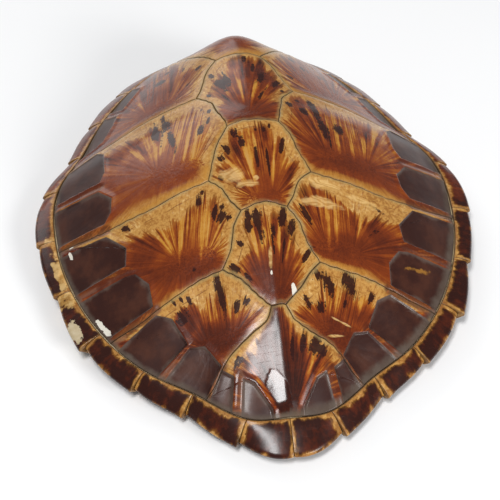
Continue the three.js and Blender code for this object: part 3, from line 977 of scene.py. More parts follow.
VERTEBRAL_GROWTH: dict[int, Growth] = {
    1: Growth(
        middle=(0, 205), focus=((0, 158), (0, 158)), borders=(0, 9, 3, 0, 9, 3), warmth=-0.02,
        blotches=spread(11, (-40, 170, 40, 235), 9),
    ),
    2: Growth(
        middle=(0, 92), focus=((-3, 40), (-3, 40)), borders=(10, 8, 5, -2, 10, 14, 8, -2), warmth=-0.06,
        blotches=(
            Mark(-20, 101, 10, 7.5), Mark(-31, 118, 5, 4, strength=0.85), Mark(-36, 90, 3, 2.6),
            Mark(11, 119, 8, 1.9), Mark(18, 105, 11, 5.6), Mark(33, 99, 8, 3.6), Mark(37, 88, 2.6, 2.2),
            Mark(4, 134, 6, 2.6), Mark(-3, 144, 4, 5, strength=0.85),
            Mark(14, 74, 16, 1.4, strength=0.8), Mark(-20, 76, 12, 1.4, strength=0.8),
        ),
        glints=(Mark(-6, 96, 22, 1.5), Mark(9, 84, 18, 1.3), Mark(17, 80, 12, 1.2)),
        shades=(Mark(-2, 54, 30, 13, 0),),
    ),
    3: Growth(
        middle=(0, -14), focus=((-4, -58), (8, -58)), borders=(12, 15, 8, -2, 12, 11, 8, -2),
        warmth=0.0,
        blotches=(
            Mark(-19, 22, 7, 3.2), Mark(-13, 10, 9, 3.4), Mark(-28, 5, 8, 4.8, strength=0.9),
            Mark(-35, -5, 4, 3.2, strength=0.85), Mark(10, 24, 8, 3.4), Mark(2, 24, 3, 2),
            Mark(25, 4, 10, 2.2), Mark(-37, -27, 3, 2.6), Mark(16, 28, 3.4, 1.6),
            Mark(-1, -12, 18, 1.9, strength=0.8), Mark(9, -12, 18, 2.2, strength=0.8),
        ),
        flakes=(
            Mark(-27, -25, 13, 11, -35, 0.9), Mark(-12, -38, 13, 5, -12, 0.9), Mark(-4, -33, 3, 2.8),
        ),
        glints=(
            Mark(-10, -8, 17, 2.0), Mark(13, -22, 13, 1.3), Mark(-24, -16, 9, 1.4),
            Mark(-1, 8, 10, 1.2),
        ),
        shades=(Mark(12, -42, 22, 12), Mark(2, -18, 14, 6, strength=0.6)),
    ),
    4: Growth(
        middle=(0, -108), focus=((-6, -154), (2, -154)), borders=(13, 15, 1, -8, 13, 20, 2, -8),
        warmth=-0.01,
        blotches=(
            Mark(-16, -72, 7, 2.2), Mark(-8, -80, 15, 4.4), Mark(-18, -81, 6, 4), Mark(5, -88, 8, 2.4),
            Mark(15, -76, 10, 4.6), Mark(22, -88, 10, 5.4), Mark(-27, -97, 4, 2.8),
            Mark(33, -111, 9, 1.9), Mark(-34, -119, 6, 4.4), Mark(-24, -128, 5, 2),
            Mark(3, -105, 16, 1.6, strength=0.85), Mark(13, -104, 16, 1.8, strength=0.8),
        ),
        flakes=(Mark(-1, -115, 11, 2.2, 84),),
        glints=(
            Mark(-13, -98, 14, 1.7), Mark(9, -97, 14, 1.2), Mark(17, -104, 13, 1.3),
            Mark(-4, -92, 8, 1.3),
        ),
        shades=(Mark(-8, -134, 22, 14, 90), Mark(8, -134, 24, 11, 90)),
        # These two chips are painted highlights: white spots that stand for the light's glint.
        chips=(Mark(17, -144, 8, 2.2, 95), Mark(-2, -129, 2.4, 1.1, 90)),
        gloom=0.13,
    ),
    5: Growth(
        middle=(0, -208), focus=((-2, -240), (4, -240)), borders=(0, 14, -6, 0, 21, -6), warmth=-0.05,
        blotches=(
            Mark(-42, -197, 5, 1.3, 60), Mark(-38, -196, 4, 2.2, 60), Mark(19, -189, 8, 3.2),
            Mark(31, -189, 8, 4.4), Mark(36, -195, 5, 3.6), Mark(9, -192, 10, 1.6),
            Mark(-3, -176, 14, 3.6, 84, 0.7),
        ),
        glints=(
            Mark(9, -180, 12, 1.1), Mark(16, -186, 9, 1.1), Mark(25, -184, 7, 1.2),
            Mark(16, -224, 20, 1.5, 67), Mark(-19, -224, 18, 1.4, 118),
        ),
        shades=(
            Mark(0, -214, 34, 17, 90, 1.2), Mark(-9, -192, 28, 10, 84, 1.2),
            Mark(-20, -189, 12, 2.4, strength=0.9), Mark(-27, -199, 12, 2.6, strength=0.9),
            Mark(-33, -200, 8, 1.8, strength=0.8),
        ),
        slicks=(Mark(-9, -229, 20, 11, 96, 1.0),),
        gloom=0.2,
    ),
}
COSTAL_GROWTH: dict[tuple[int, Side], Growth] = {
    (1, Side.LEFT): Growth(
        middle=(95, 155), focus=((78, 106), (98, 108)), borders=(15, 0, 0, 11), warmth=-0.03,
        blotches=(Mark(-42, 146, 5, 4), Mark(-81, 167, 5, 4.4), *spread(21, (-75, 120, -45, 185), 5)),
    ),
    (1, Side.RIGHT): Growth(
        middle=(95, 155), focus=((78, 106), (98, 108)), borders=(12, 0, -1, 7), warmth=-0.03,
        blotches=(Mark(59, 172, 5, 3), Mark(70, 160, 5, 2.4), *spread(22, (45, 120, 110, 185), 6)),
    ),
    (2, Side.LEFT): Growth(
        middle=(105, 32), focus=((62, -7), (96, 2)), borders=(27, -8, 8, 10, 13), warmth=0.02,
        blotches=(
            Mark(-46, 71, 2.6, 1.5), Mark(-39, 63, 3.4, 2), Mark(-41, 49, 5, 2), Mark(-49, 41, 8, 2.8),
            Mark(-92, 60, 15, 4.4, 97), Mark(-81, 73, 12, 4.2, 95), Mark(-78, 38, 17, 2.8, 96, 0.9),
        ),
        glints=(
            Mark(-72, 38, 20, 1.6), Mark(-63, 32, 20, 1.5), Mark(-54, 34, 20, 1.4),
            Mark(-98, 42, 18, 3.4), Mark(-86, 48, 18, 2.8), Mark(-112, 44, 14, 2.6),
        ),
        shades=(Mark(-112, 14, 46, 20, -28),),
        gloom=0.05,
    ),
    (2, Side.RIGHT): Growth(
        middle=(105, 32), focus=((70, -4), (108, -6)), borders=(19, -8, 4, 1, 8), warmth=0.0,
        blotches=(
            Mark(41, 66, 5, 4.4), Mark(51, 77, 3, 2.6), Mark(55, 58, 7, 3.6), Mark(66, 72, 17, 3.2, 98),
            Mark(71, 38, 26, 3.8, 99, 0.9), Mark(88, 41, 7, 4.2),
        ),
        glints=(
            Mark(62, 48, 16, 1.6), Mark(84, 28, 14, 1.6), Mark(98, 22, 12, 1.4), Mark(112, 30, 14, 1.5),
        ),
        shades=(Mark(60, 2, 20, 14, 150), Mark(100, -4, 40, 13, 178)),
        gloom=0.09,
    ),
    (3, Side.LEFT): Growth(
        middle=(100, -80), focus=((60, -102), (84, -98)), borders=(27, -8, 5, 8, 16), warmth=0.02,
        blotches=(
            Mark(-56, -36, 3, 2.6), Mark(-60, -45, 6, 3.6), Mark(-47, -60, 7, 3.2),
            Mark(-41, -65, 6, 4), Mark(-40, -56, 5, 2.2), Mark(-35, -68, 4, 3, strength=0.8),
            Mark(-131, -40, 4, 3.4), Mark(-71, -108, 2.2, 2),
        ),
        glints=(
            Mark(-80, -72, 17, 1.6), Mark(-96, -66, 15, 1.5), Mark(-59, -72, 18, 1.4),
            Mark(-52, -70, 16, 1.3),
        ),
        shades=(Mark(-82, -104, 38, 14, -10), Mark(-122, -84, 20, 16, 60, 0.9)),
        chips=(
            Mark(-162, -121, 11, 2.6, 118, 0.8), Mark(-157, -130, 8, 3.0, 125, 0.8),
            Mark(-185, -36, 6, 2.0, 100, 0.8), Mark(-184, -25, 4, 2.6, 30, 0.8),
            Mark(-176, -20, 5, 3.0, 30, 0.8),
        ),
        gloom=0.11,
    ),
    (3, Side.RIGHT): Growth(
        middle=(100, -80), focus=((54, -104), (78, -106)), borders=(34, -8, 4, 1, 9), warmth=0.0,
        blotches=(
            Mark(38, -71, 9, 2.8), Mark(104, -78, 10, 3, strength=0.7), Mark(110, -52, 6, 1.6, -25),
        ),
        flakes=(
            Mark(60, -38, 26, 8, -10, 0.9), Mark(54, -57, 20, 6, -5, 1.0),
            Mark(96, -48, 26, 7, -14, 0.7),
        ),
        glints=(
            Mark(58, -78, 15, 1.5), Mark(66, -76, 14, 1.5), Mark(90, -72, 12, 1.4),
            Mark(143, -104, 12, 2.2, 4, 0.75), Mark(156, -101, 4, 2.6, 30, 0.8),
        ),
        shades=(Mark(72, -98, 40, 13, -8), Mark(110, -84, 18, 16, 0, 0.8)),
        gloom=0.1,
    ),
    (4, Side.LEFT): Growth(
        middle=(78, -160), focus=((44, -178), (64, -179)), borders=(24, -8, 3, 20), warmth=-0.01,
        blotches=(
            Mark(-50, -134, 20, 3.2, 96), Mark(-92, -131, 3.4, 1.8), Mark(-86, -130, 3.4, 1.6),
            Mark(-79, -133, 4, 2.2), Mark(-86, -146, 7, 7, strength=0.85), Mark(-37, -152, 5, 3),
            Mark(-28, -149, 4, 3),
        ),
        glints=(Mark(-62, -146, 9, 1.6), Mark(-44, -150, 9, 1.5)),
        shades=(Mark(-56, -172, 30, 12, -8), Mark(-84, -154, 14, 11, 60)),
        gloom=0.15,
    ),
    (4, Side.RIGHT): Growth(
        middle=(78, -160), focus=((42, -180), (62, -187)), borders=(22, -8, 3, 17), warmth=-0.01,
        blotches=(
            Mark(42, -128, 5, 5.4), Mark(50, -133, 11, 4.2, 102), Mark(70, -133, 12, 7, 104),
            Mark(64, -151, 4, 1.7), Mark(90, -142, 6, 2.2), Mark(28, -154, 6, 3, strength=0.85),
            Mark(40, -158, 6, 4, strength=0.8),
        ),
        flakes=(
            Mark(58, -168, 12, 1.2, -18, 0.9), Mark(50, -181, 9, 1.3, 10, 0.9),
            Mark(141, -104, 7, 2, -20, 0.8),
        ),
        glints=(Mark(58, -142, 10, 1.8), Mark(80, -148, 9, 1.6)),
        shades=(Mark(50, -176, 26, 12, 165), Mark(78, -160, 14, 10, 0, 0.8)),
        gloom=0.1,
    ),
}


# ---------------------------------------------------------------- scutes of the dome


@dataclass
class DomeScutes:
    """The five vertebral and eight costal scutes, in mm."""

    form: ShellForm
    plan: DomePlan
    relief: HornRelief
    thickness: float = 2.3
    seam_gap: float = 0.16
    seam_round: float = 1.0
    seam_dip: float = 0.8
    hollow_drop: float = 3.2
    hollow_lead: float = 0.4
    hollow_soft: float = 2.4
    rib_crown: float = 1.0
    rib_reach: float = 6.0
    rib_start: float = 0.62
    rib_run: float = 0.15
    lip_start: float = 0.975
    lip_run: float = 0.025
    lip_drop: float = 0.7
    lip_fill: float = 0.55
    border_swell: float = 0.3
    border_crest: float = 5.0
    border_crest_width: float = 4.0
    layer: float = 0.14
    gutter: float = 8.5
    # On the right the gutter's grey band is wider, as painted light where the light falls on that side.
    gutter_right: float = 14.45
    # The mesh: how far the first rings lie from the border, then the spacing of the others.
    edge_steps: tuple[float, ...] = (0.0, 0.12, 0.3, 0.55, 0.85, 1.25, 1.8, 2.6, 3.6, 4.8, 6.0)
    ring_step: float = 1.5
    least_span: float = 4.0
    greatest_share: float = 0.6
    # The scales of the fields that the finish reads.
    ray_spacing: float = 13.0
    ray_core: float = 8.0
    ray_slant: float = 0.14
    calm_radius: float = 16.0
    band_unit: float = 10.0
    band_keep: float = 0.65
    band_shade: float = 2.5
    blur_reach: int = 5
    blur_times: int = 3
    rib_glow: float = 10.0
    firm_inset: float = 3.0
    hollow_limit: float = 12.0

    def _sunk(self, hollow: Array) -> Array:
        """Returns how far the horn sinks for an inside distance in a hollow."""
        return self.hollow_drop * ease((hollow + self.hollow_lead) / self.hollow_soft)

    def _surface(self, x: Array, y: Array, inset: Array) -> tuple[Array, Array]:
        """Finds the finished surface over plan points.

        Args:
            x: the points' x.
            y: the points' y.
            inset: their distance from the scute's border.

        Returns:
            The surface points, and how deep each lies in a hollow, as an inside distance.
        """
        hollow, slope = self.plan.hollow_shape(x, y)
        share = self.form.share(x, y)
        drop = self._sunk(hollow) * slope
        near = ease((hollow + self.rib_reach) / self.rib_reach)
        rib = self.rib_crown * near * ease((share - self.rib_start) / self.rib_run)
        lip = ease((share - self.lip_start) / self.lip_run)
        dip = self.seam_dip * rounding(inset, self.seam_round)
        crest = (inset - self.border_crest) / self.border_crest_width
        swell = self.border_swell * np.exp(-(crest**2))
        rise = rib + swell - drop * (1 - self.lip_fill * lip) - dip - self.lip_drop * lip
        base = np.stack([x, y, self.form.height(x, y)], axis=-1)
        return base + self.form.normal(x, y) * rise[:, None], hollow

    def _fields(
        self,
        x: Array,
        y: Array,
        inset: Array,
        hollow: Array,
        outline: Array,
        width: Array,
        growth: Growth,
        sign: int,
        seed: float,
        slick: Array,
    ) -> dict[str, Array]:
        """Works out what the finish needs to know at each vertex.

        Args:
            x: the vertices' x.
            y: the vertices' y.
            inset: their distance from the scute's border.
            hollow: their inside distance in a hollow.
            outline: the scute's outline.
            width: the width of the amber border there.
            growth: how the scute grew.
            sign: the side's sign.
            seed: the scute's own number.
            slick: how deep they lie where a layer has come off.

        Returns:
            The named fields.
        """
        focus = np.mean(growth.focus, axis=0) * [sign, 1]
        rim = outline - focus
        rim_bearing = np.arctan2(rim[:, 0], rim[:, 1])
        order = np.argsort(rim_bearing)
        around = np.arctan2(x - focus[0], y - focus[1])
        limit = np.interp(around, rim_bearing[order], np.hypot(*rim[order].T), period=2 * math.pi)
        reach = np.clip(np.hypot(x - focus[0], y - focus[1]) / np.maximum(limit, 1.0), 0.0, 1.0)
        root_x, root_y = growth.root(x, y, sign)
        radius = np.hypot(x - root_x, y - root_y)
        bearing = np.arctan2(x - root_x, y - root_y)
        near = ease(radius / self.ray_spacing) * 0.8 + 0.2 * ease(radius / self.ray_core)
        ray_x = np.sin(bearing) * near + (root_x - focus[0]) / self.ray_spacing
        ray_y = np.cos(bearing) * near + (root_y - focus[1]) / self.ray_spacing
        ray = np.stack([ray_x, ray_y, reach * self.ray_slant], axis=-1)
        ahead = ease((np.cos(bearing) + 0.45) / 0.9)
        share = self.form.share(x, y)
        keep = ease((hollow + 30.0) / 26.0) * ease((share - 0.55) / 0.15)
        dark, flake, glint, chip, shade = (
            growth.deepest(marks, x, y, sign)
            for marks in (growth.blotches, growth.flakes, growth.glints, growth.chips, growth.shades)
        )
        shade = ease(shade / 1.1)
        band = (width - inset) / self.band_unit - self.band_keep * keep - self.band_shade * shade
        calm = np.maximum(shade, 0.9 * (1 - ease(radius / self.calm_radius)))
        warmth = growth.warmth + 0.07 * ahead * reach - 0.02 * keep - growth.gloom * calm
        away = np.min([line_distance(np.abs(x), y, line) for line in self.plan.ribs], axis=0)
        rib = 1 - away / self.rib_glow
        most = self.hollow_limit
        gap = (1 - share) * self.form.groove_ring(self.form.angle(x, y))
        # The gutter band is wider on the right side as painted light.
        groove = 1 - ease(gap / np.where(x > 0, self.gutter_right, self.gutter))
        return {
            "ray": ray,
            "growth": np.stack([band, dark, np.clip(inset / self.firm_inset, 0, 1)], axis=-1),
            "hue": np.stack([warmth, glint, ahead * ease(reach / 0.6) * (1 - 0.85 * calm)], axis=-1),
            "zone": np.stack([np.clip(hollow, -most, most) / most, rib, groove], axis=-1),
            "wear": np.stack([flake, inset, np.full_like(x, seed)], axis=-1),
            # The third field holds chips, some of them painted highlights, slicks, and where the painted
            # sheen on the ribs goes.
            "loss": np.stack([chip, slick, self.rib_side(x, y)], axis=-1),
        }

    def rib_side(self, x: Array, y: Array) -> Array:
        """Returns how far plan points lie behind the nearest rib's middle: 0 ahead of it, 1 behind.

        That is where the painted sheen on the ribs goes; on the right side it is a quarter as strong.
        """
        across = np.abs(x)
        best, side = np.full(np.shape(x), FAR), np.zeros(np.shape(x))
        for line in self.plan.ribs:
            away = line_distance(across, y, line)
            (ax, ay), (bx, by) = line
            behind = ((by - ay) * (across - ax) - (bx - ax) * (y - ay)) / math.hypot(bx - ax, by - ay)
            side = np.where(away < best, behind, side)
            best = np.minimum(best, away)
        return ease((side + 0.5) / 2.0) * np.where(x < 0, 1.0, 0.25)

    def build(
        self, name: str, drawn: Drawn, growth: Growth, sign: int, seed: float, finish: Material
    ) -> Piece:
        """Builds one scute as a closed plate.

        Args:
            name: the solid that it stands for.
            drawn: its outline, anticlockwise, and the run that each point is on.
            growth: how it grew.
            sign: the side's sign.
            seed: its own number.
            finish: its material.

        Returns:
            The finished piece.
        """
        outline, run = drawn
        middle = np.array([growth.middle[0] * sign, growth.middle[1]])
        ahead, behind = np.roll(outline, -1, axis=0), np.roll(outline, 1, axis=0)
        along = ahead - behind
        along /= np.linalg.norm(along, axis=1, keepdims=True)
        inwards = np.stack([-along[:, 1], along[:, 0]], axis=1)
        span = np.maximum(np.einsum("ij,ij->i", middle - outline, inwards), self.least_span)
        reach = np.linalg.norm(outline - middle, axis=1)
        count = math.ceil(float(reach.max()) / self.ring_step)
        drawn_in = [(step + self.seam_gap) / span for step in self.edge_steps]
        shares = [1 - np.minimum(share, self.greatest_share) for share in drawn_in]
        last = shares[-1]
        shares += [last * (1 - k / count) for k in range(1, count)]
        rings = [middle + (outline - middle) * share[:, None] for share in shares]
        flat = np.vstack([*rings, middle[None]])
        inset = np.maximum(inside_distance(flat[:, 0], flat[:, 1], outline) - self.seam_gap, 0.0)
        x, y = self.plan.wobble(flat[:, 0], flat[:, 1])
        slick = growth.deepest(growth.slicks, x, y, sign)
        torn = slick + 0.06 * np.sin(x / 2.3) + 0.03 * np.sin(x / 0.9 + y / 1.3)
        top, hollow = self._surface(x, y, inset)
        top[:, 2] -= self.layer * ease((torn - 0.5) / 0.14)
        around, levels = len(outline), len(shares)
        borders = np.array(growth.borders, float)[run]
        for _ in range(self.blur_times):
            shifts = range(-self.blur_reach, self.blur_reach + 1)
            borders = np.mean([np.roll(borders, k) for k in shifts], axis=0)
        width = np.concatenate([np.tile(borders, levels), [float(borders.mean())]])
        fields = self._fields(x, y, inset, hollow, outline, width, growth, sign, seed, torn)
        under_rings = [0, len(self.edge_steps) - 1, levels // 2]
        picks = np.concatenate([np.arange(around) + r * around for r in under_rings] + [[len(flat) - 1]])
        under = self.form.below(x[picks], y[picks], self.thickness + self._sunk(hollow[picks]))
        base = len(flat)
        faces = ring_faces(around, levels).tolist()
        faces += fan_faces((levels - 1) * around, around, base - 1)
        i = np.arange(around)
        j = (i + 1) % around
        faces += np.stack([i, i + base, j + base, j], axis=1).tolist()
        faces += (ring_faces(around, len(under_rings))[:, ::-1] + base).tolist()
        inner = base + (len(under_rings) - 1) * around
        faces += fan_faces(inner, around, len(picks) + base - 1, up=False)
        fields = {key: np.concatenate([value, value[picks]]) for key, value in fields.items()}
        piece = build_mesh(f"{name}_horn", np.vstack([top, under]), faces, fields)
        depth, swell = (0.05, 0.25) if growth.slicks else (0.35, 0.6)
        self.relief.apply(piece, finish, seed, depth, swell)
        return piece

    def make(self, finish: Material) -> Iterable[tuple[str, Piece]]:
        """Builds every scute of the dome.

        Args:
            finish: their material.

        Returns:
            Pairs of a solid's name and the piece that stands for it.
        """
        for number, growth in VERTEBRAL_GROWTH.items():
            name = f"vertebral_{number}"
            yield name, self.build(name, self.plan.vertebral(number), growth, 1, number * 3.7, finish)
        for (number, side), growth in COSTAL_GROWTH.items():
            name = f"costal_{side.word}_{number}"
            drawn = self.plan.costal(number, side)
            seed = 20 + number * 2.9 + side.value * 1.3
            yield name, self.build(name, drawn, growth, side.value, seed, finish)


# ---------------------------------------------------------------- scutes of the rim


# Faded scutes: the middle and half length of the fading as shares of the scute's length, and how
# far out it reaches as a share of the flange.
FADED: dict[str, tuple[float, float, float]] = {
    "marginal_left_6": (1.0, 0.3, 0.5),
    "marginal_left_7": (0.65, 0.8, 0.45),
    "marginal_left_8": (0.1, 0.6, 1.1),
}
# Scutes with a broken edge: its middle as a share of the length, its half length in mm, and its
# half width as a share of the flange.
BROKEN: dict[str, tuple[float, float, float]] = {"marginal_left_8": (0.72, 13.0, 0.42)}


@dataclass
class RimScutes:
    """The nuchal and the marginal scutes, sheaths of horn bent round the rim, in mm."""

    form: ShellForm
    relief: HornRelief
    thickness: float = 2.4
    seam_gap: float = 0.14
    seam_round: float = 0.7
    edge_thick: float = 8.0
    edge_bevel: float = 1.5
    edge_undercut: float = 4.0
    flange_crown: float = 1.2
    foot_in: float = -7.0
    foot_out: float = 3.0
    station_step: float = 1.2
    inner_band: float = 2.8
    seam_band: float = 3.0
    lip_band: float = -0.8
    band_depth: float = 2.4
    proud_middle: tuple[float, ...] = (0, 1.5, 2, 2, 2.5, 2, 2.5, 2, 3, 3, 3, 3, 4)
    proud_rear: tuple[float, ...] = (0, 1, 1.5, 2, 2.5, 2.5, 3, 3.5, 7, 5, 6, 6, 1)
    keep_in: float = 0.8
    foot_clear: float = 0.4
    section_points: int = 56
    lining_skip: int = 5
    close_steps: tuple[float, ...] = (0.0, 0.12, 0.3, 0.6, 1.0)
    rear_band: float = 0.8
    ray_along: float = 120.0
    ray_across: float = 240.0
    grime_width: float = 2.2
    warmth_tail: float = -0.25
    warmth_head: float = -0.09

    def proud(self, number: int, along: Array) -> Array:
        """Returns how far a marginal's edge stands proud, along its length from front to rear."""
        middle = self.proud_middle[number] * np.sin(math.pi * along)
        return middle + self.proud_rear[number] * along**3 - self.keep_in

    def line(self, width: float, top: float, edge: float, foot: float, proud: float) -> Array:
        """Draws a section of the rim from the groove over the edge to the foot.

        Args:
            width: from the groove to the outer edge.
            top: height of the groove.
            edge: height of the outer edge's top.
            foot: height of the underside.
            proud: how far the edge stands out beyond that width.

        Returns:
            Points as (outwards, height) pairs.
        """
        reach = width + proud
        bottom = max(foot, edge - self.edge_thick)
        return np.array(
            [
                (self.seam_gap, top),
                (reach * 0.5, mix(top, edge, 0.5) + self.flange_crown),
                (reach - self.edge_bevel, edge),
                (reach, edge - self.edge_thick * 0.4),
                (reach - self.edge_undercut, bottom + self.foot_clear),
                (self.foot_out, foot + self.foot_clear),
                (self.foot_in, foot + self.foot_clear),
            ]
        )

    def section(self, line: Array) -> tuple[Array, Array]:
        """Rounds a section line and samples it evenly.

        Args:
            line: its corner points.

        Returns:
            The samples, and each one's distance along the line from the groove.
        """
        start, crest, edge = line[:3]
        top = start * 0.25 + crest * 0.5 + edge * 0.25
        rise = mix(start, crest, 0.5) + [0, 0.3]
        corners = [start, rise, top + [0, 0.4], mix(crest, edge, 0.6), edge, line[3], line[4]]
        fine = np.vstack([smooth_run(list(map(tuple, corners)), 0.4), line[5:]])
        step = np.hypot(*np.diff(fine, axis=0).T)
        run = np.concatenate([[0.0], np.cumsum(step)])
        at = np.linspace(0.0, run[-1], self.section_points)
        return np.stack([np.interp(at, run, fine[:, 0]), np.interp(at, run, fine[:, 1])], axis=1), at

    def build(self, name: str, number: int, first: float, last: float, finish: Material) -> Piece:
        """Builds one sheath between two places of the rim.

        Args:
            name: the solid that it stands for.
            number: the marginal's number, 0 for the nuchal.
            first: the place where it starts.
            last: the place where it ends.
            finish: its material.

        Returns:
            The finished piece.
        """
        ends = self.form.edge_points(np.array([first, last]))
        length = float(np.hypot(*(ends[1] - ends[0])))
        count = math.ceil(length / self.station_step)
        gap = self.seam_gap / length
        close = np.array(self.close_steps) / length
        inner = np.linspace(close[-1], 1 - close[-1], count)[1:-1]
        along = np.concatenate([close, inner, 1 - close[::-1]]) * (1 - 2 * gap) + gap
        places = first + (last - first) * along
        nuchal = number == 0
        growth_along = np.abs(places) - number
        at = RimStations(self.form, places)
        end_gap = np.minimum(along - gap, 1 - gap - along) * length
        rings, runs = [], []
        for k in range(at.count):
            proud = -self.keep_in if nuchal else float(self.proud(number, growth_along[k]))
            line, run = self.section(self.line(at.width[k], at.top[k], at.edge[k], at.foot[k], proud))
            fallen = np.maximum(rounding(end_gap[k], self.seam_round), rounding(run, self.seam_round))
            press = fallen[:, None] * self.seam_round
            press = press * (line[:, 1:] > at.foot[k] + self.foot_clear + 0.05)
            line = line + inner_side(line) * press
            lining = self.section(self.line(at.width[k], at.top[k], at.edge[k], at.foot[k], 0.0))[0]
            lining = lining[:: self.lining_skip]
            back = (lining + inner_side(lining) * self.thickness)[::-1]
            rings.append(np.vstack([line, back]))
            runs.append(run)
        section = np.array(rings)
        size = section.shape[1]
        points = np.empty((at.count, size, 3))
        points[..., :2] = at.groove[:, None] + at.outwards[:, None] * section[..., :1]
        points[..., 2] = section[..., 1]
        across = np.zeros((at.count, size))
        across[:, : len(runs[0])] = np.array(runs)
        fields = self._fields(points, across, along, end_gap, at.width, length, name)
        faces = ring_faces(size, at.count)[:, [0, 3, 2, 1]]
        last_ring = (at.count - 1) * size
        caps = [list(range(size)), list(range(last_ring + size - 1, last_ring - 1, -1))]
        if first < 0 and not nuchal:
            faces = faces[:, ::-1]
            caps = [cap[::-1] for cap in caps]
        piece = build_mesh(f"{name}_horn", points.reshape(-1, 3), faces.tolist() + caps, fields)
        seed = 60 + number * 2.3 + (5 if first < 0 else 0)
        self.relief.apply(piece, finish, seed, depth=0.2, swell=0.5)
        return piece

    def _fields(
        self,
        points: Array,
        across: Array,
        along: Array,
        end_gap: Array,
        width: Array,
        length: float,
        name: str,
    ) -> dict[str, Array]:
        """Works out what the finish needs to know at each vertex of a sheath.

        Args:
            points: the vertices, by station.
            across: their distance from the groove along the section.
            along: each station's share of the length.
            end_gap: each station's distance from the nearer seam.
            width: each station's width of flange.
            length: the scute's length.
            name: the solid's name.

        Returns:
            The named fields.
        """
        inset = np.minimum(end_gap[:, None], across)
        out = np.hypot(points[..., 0] - points[:, :1, 0], points[..., 1] - points[:, :1, 1])
        outer = out / width[:, None]
        tip = np.max(out, axis=1, keepdims=True)
        lip = tip - out
        front_gap = (along * length)[:, None]
        inner = self.inner_band - across
        rear_seam = self.seam_band * self.rear_band - (length - front_gap)
        seams = np.maximum(self.seam_band - front_gap, rear_seam)
        band = np.maximum(np.maximum(inner, seams), self.lip_band - lip) / self.band_depth
        if name == "nuchal":
            band = band - 3.0
        ray_x = np.broadcast_to(front_gap / self.ray_along, across.shape)
        ray = np.stack([ray_x, across / self.ray_across, outer * 0.05], axis=-1)
        none = np.full_like(across, -1.0)
        bare, faded = none, none
        if name in BROKEN:
            centre, half, reach = BROKEN[name]
            bare = 1.6 - np.hypot((front_gap / length - centre) * length / half, (outer - 1.0) / reach)
        if name in FADED:
            centre, half, reach = FADED[name]
            near = 1 - ease(np.abs(along[:, None] - centre) / half)
            faded = mix(-1.0, 0.8, near * (1 - ease((outer - reach) / 0.3)))
        zone = np.stack([none, faded, 1 - ease(across / self.grime_width)], axis=-1)
        head = ease((points[..., 1] + 40.0) / 120.0)
        warmth = mix(self.warmth_tail, self.warmth_head, head)
        hue = np.stack([warmth, none, np.ones_like(across)], axis=-1)
        seed = np.full_like(across, 60 + len(name) + sum(map(ord, name)) % 17)
        fields = {
            "ray": ray,
            "growth": np.stack([band, bare, np.clip(inset / 3.0, 0, 1)], axis=-1),
            "hue": hue,
            "zone": zone,
            "wear": np.stack([outer, inset, seed], axis=-1),
        }
        return {key: value.reshape(-1, 3) for key, value in fields.items()}

    def make(self, finish: Material) -> Iterable[tuple[str, Piece]]:
        """Builds the nuchal and the marginals.

        Args:
            finish: their material.

        Returns:
            Pairs of a solid's name and the piece that stands for it.
        """
        yield "nuchal", self.build("nuchal", 0, -1.0, 1.0, finish)
        for side in Side:
            for number in range(1, len(self.form.ends) - 1):
                name = f"marginal_{side.word}_{number}"
                first, last = side.value * float(number), side.value * float(number + 1)
                yield name, self.build(name, number, first, last, finish)


# ---------------------------------------------------------------- bone


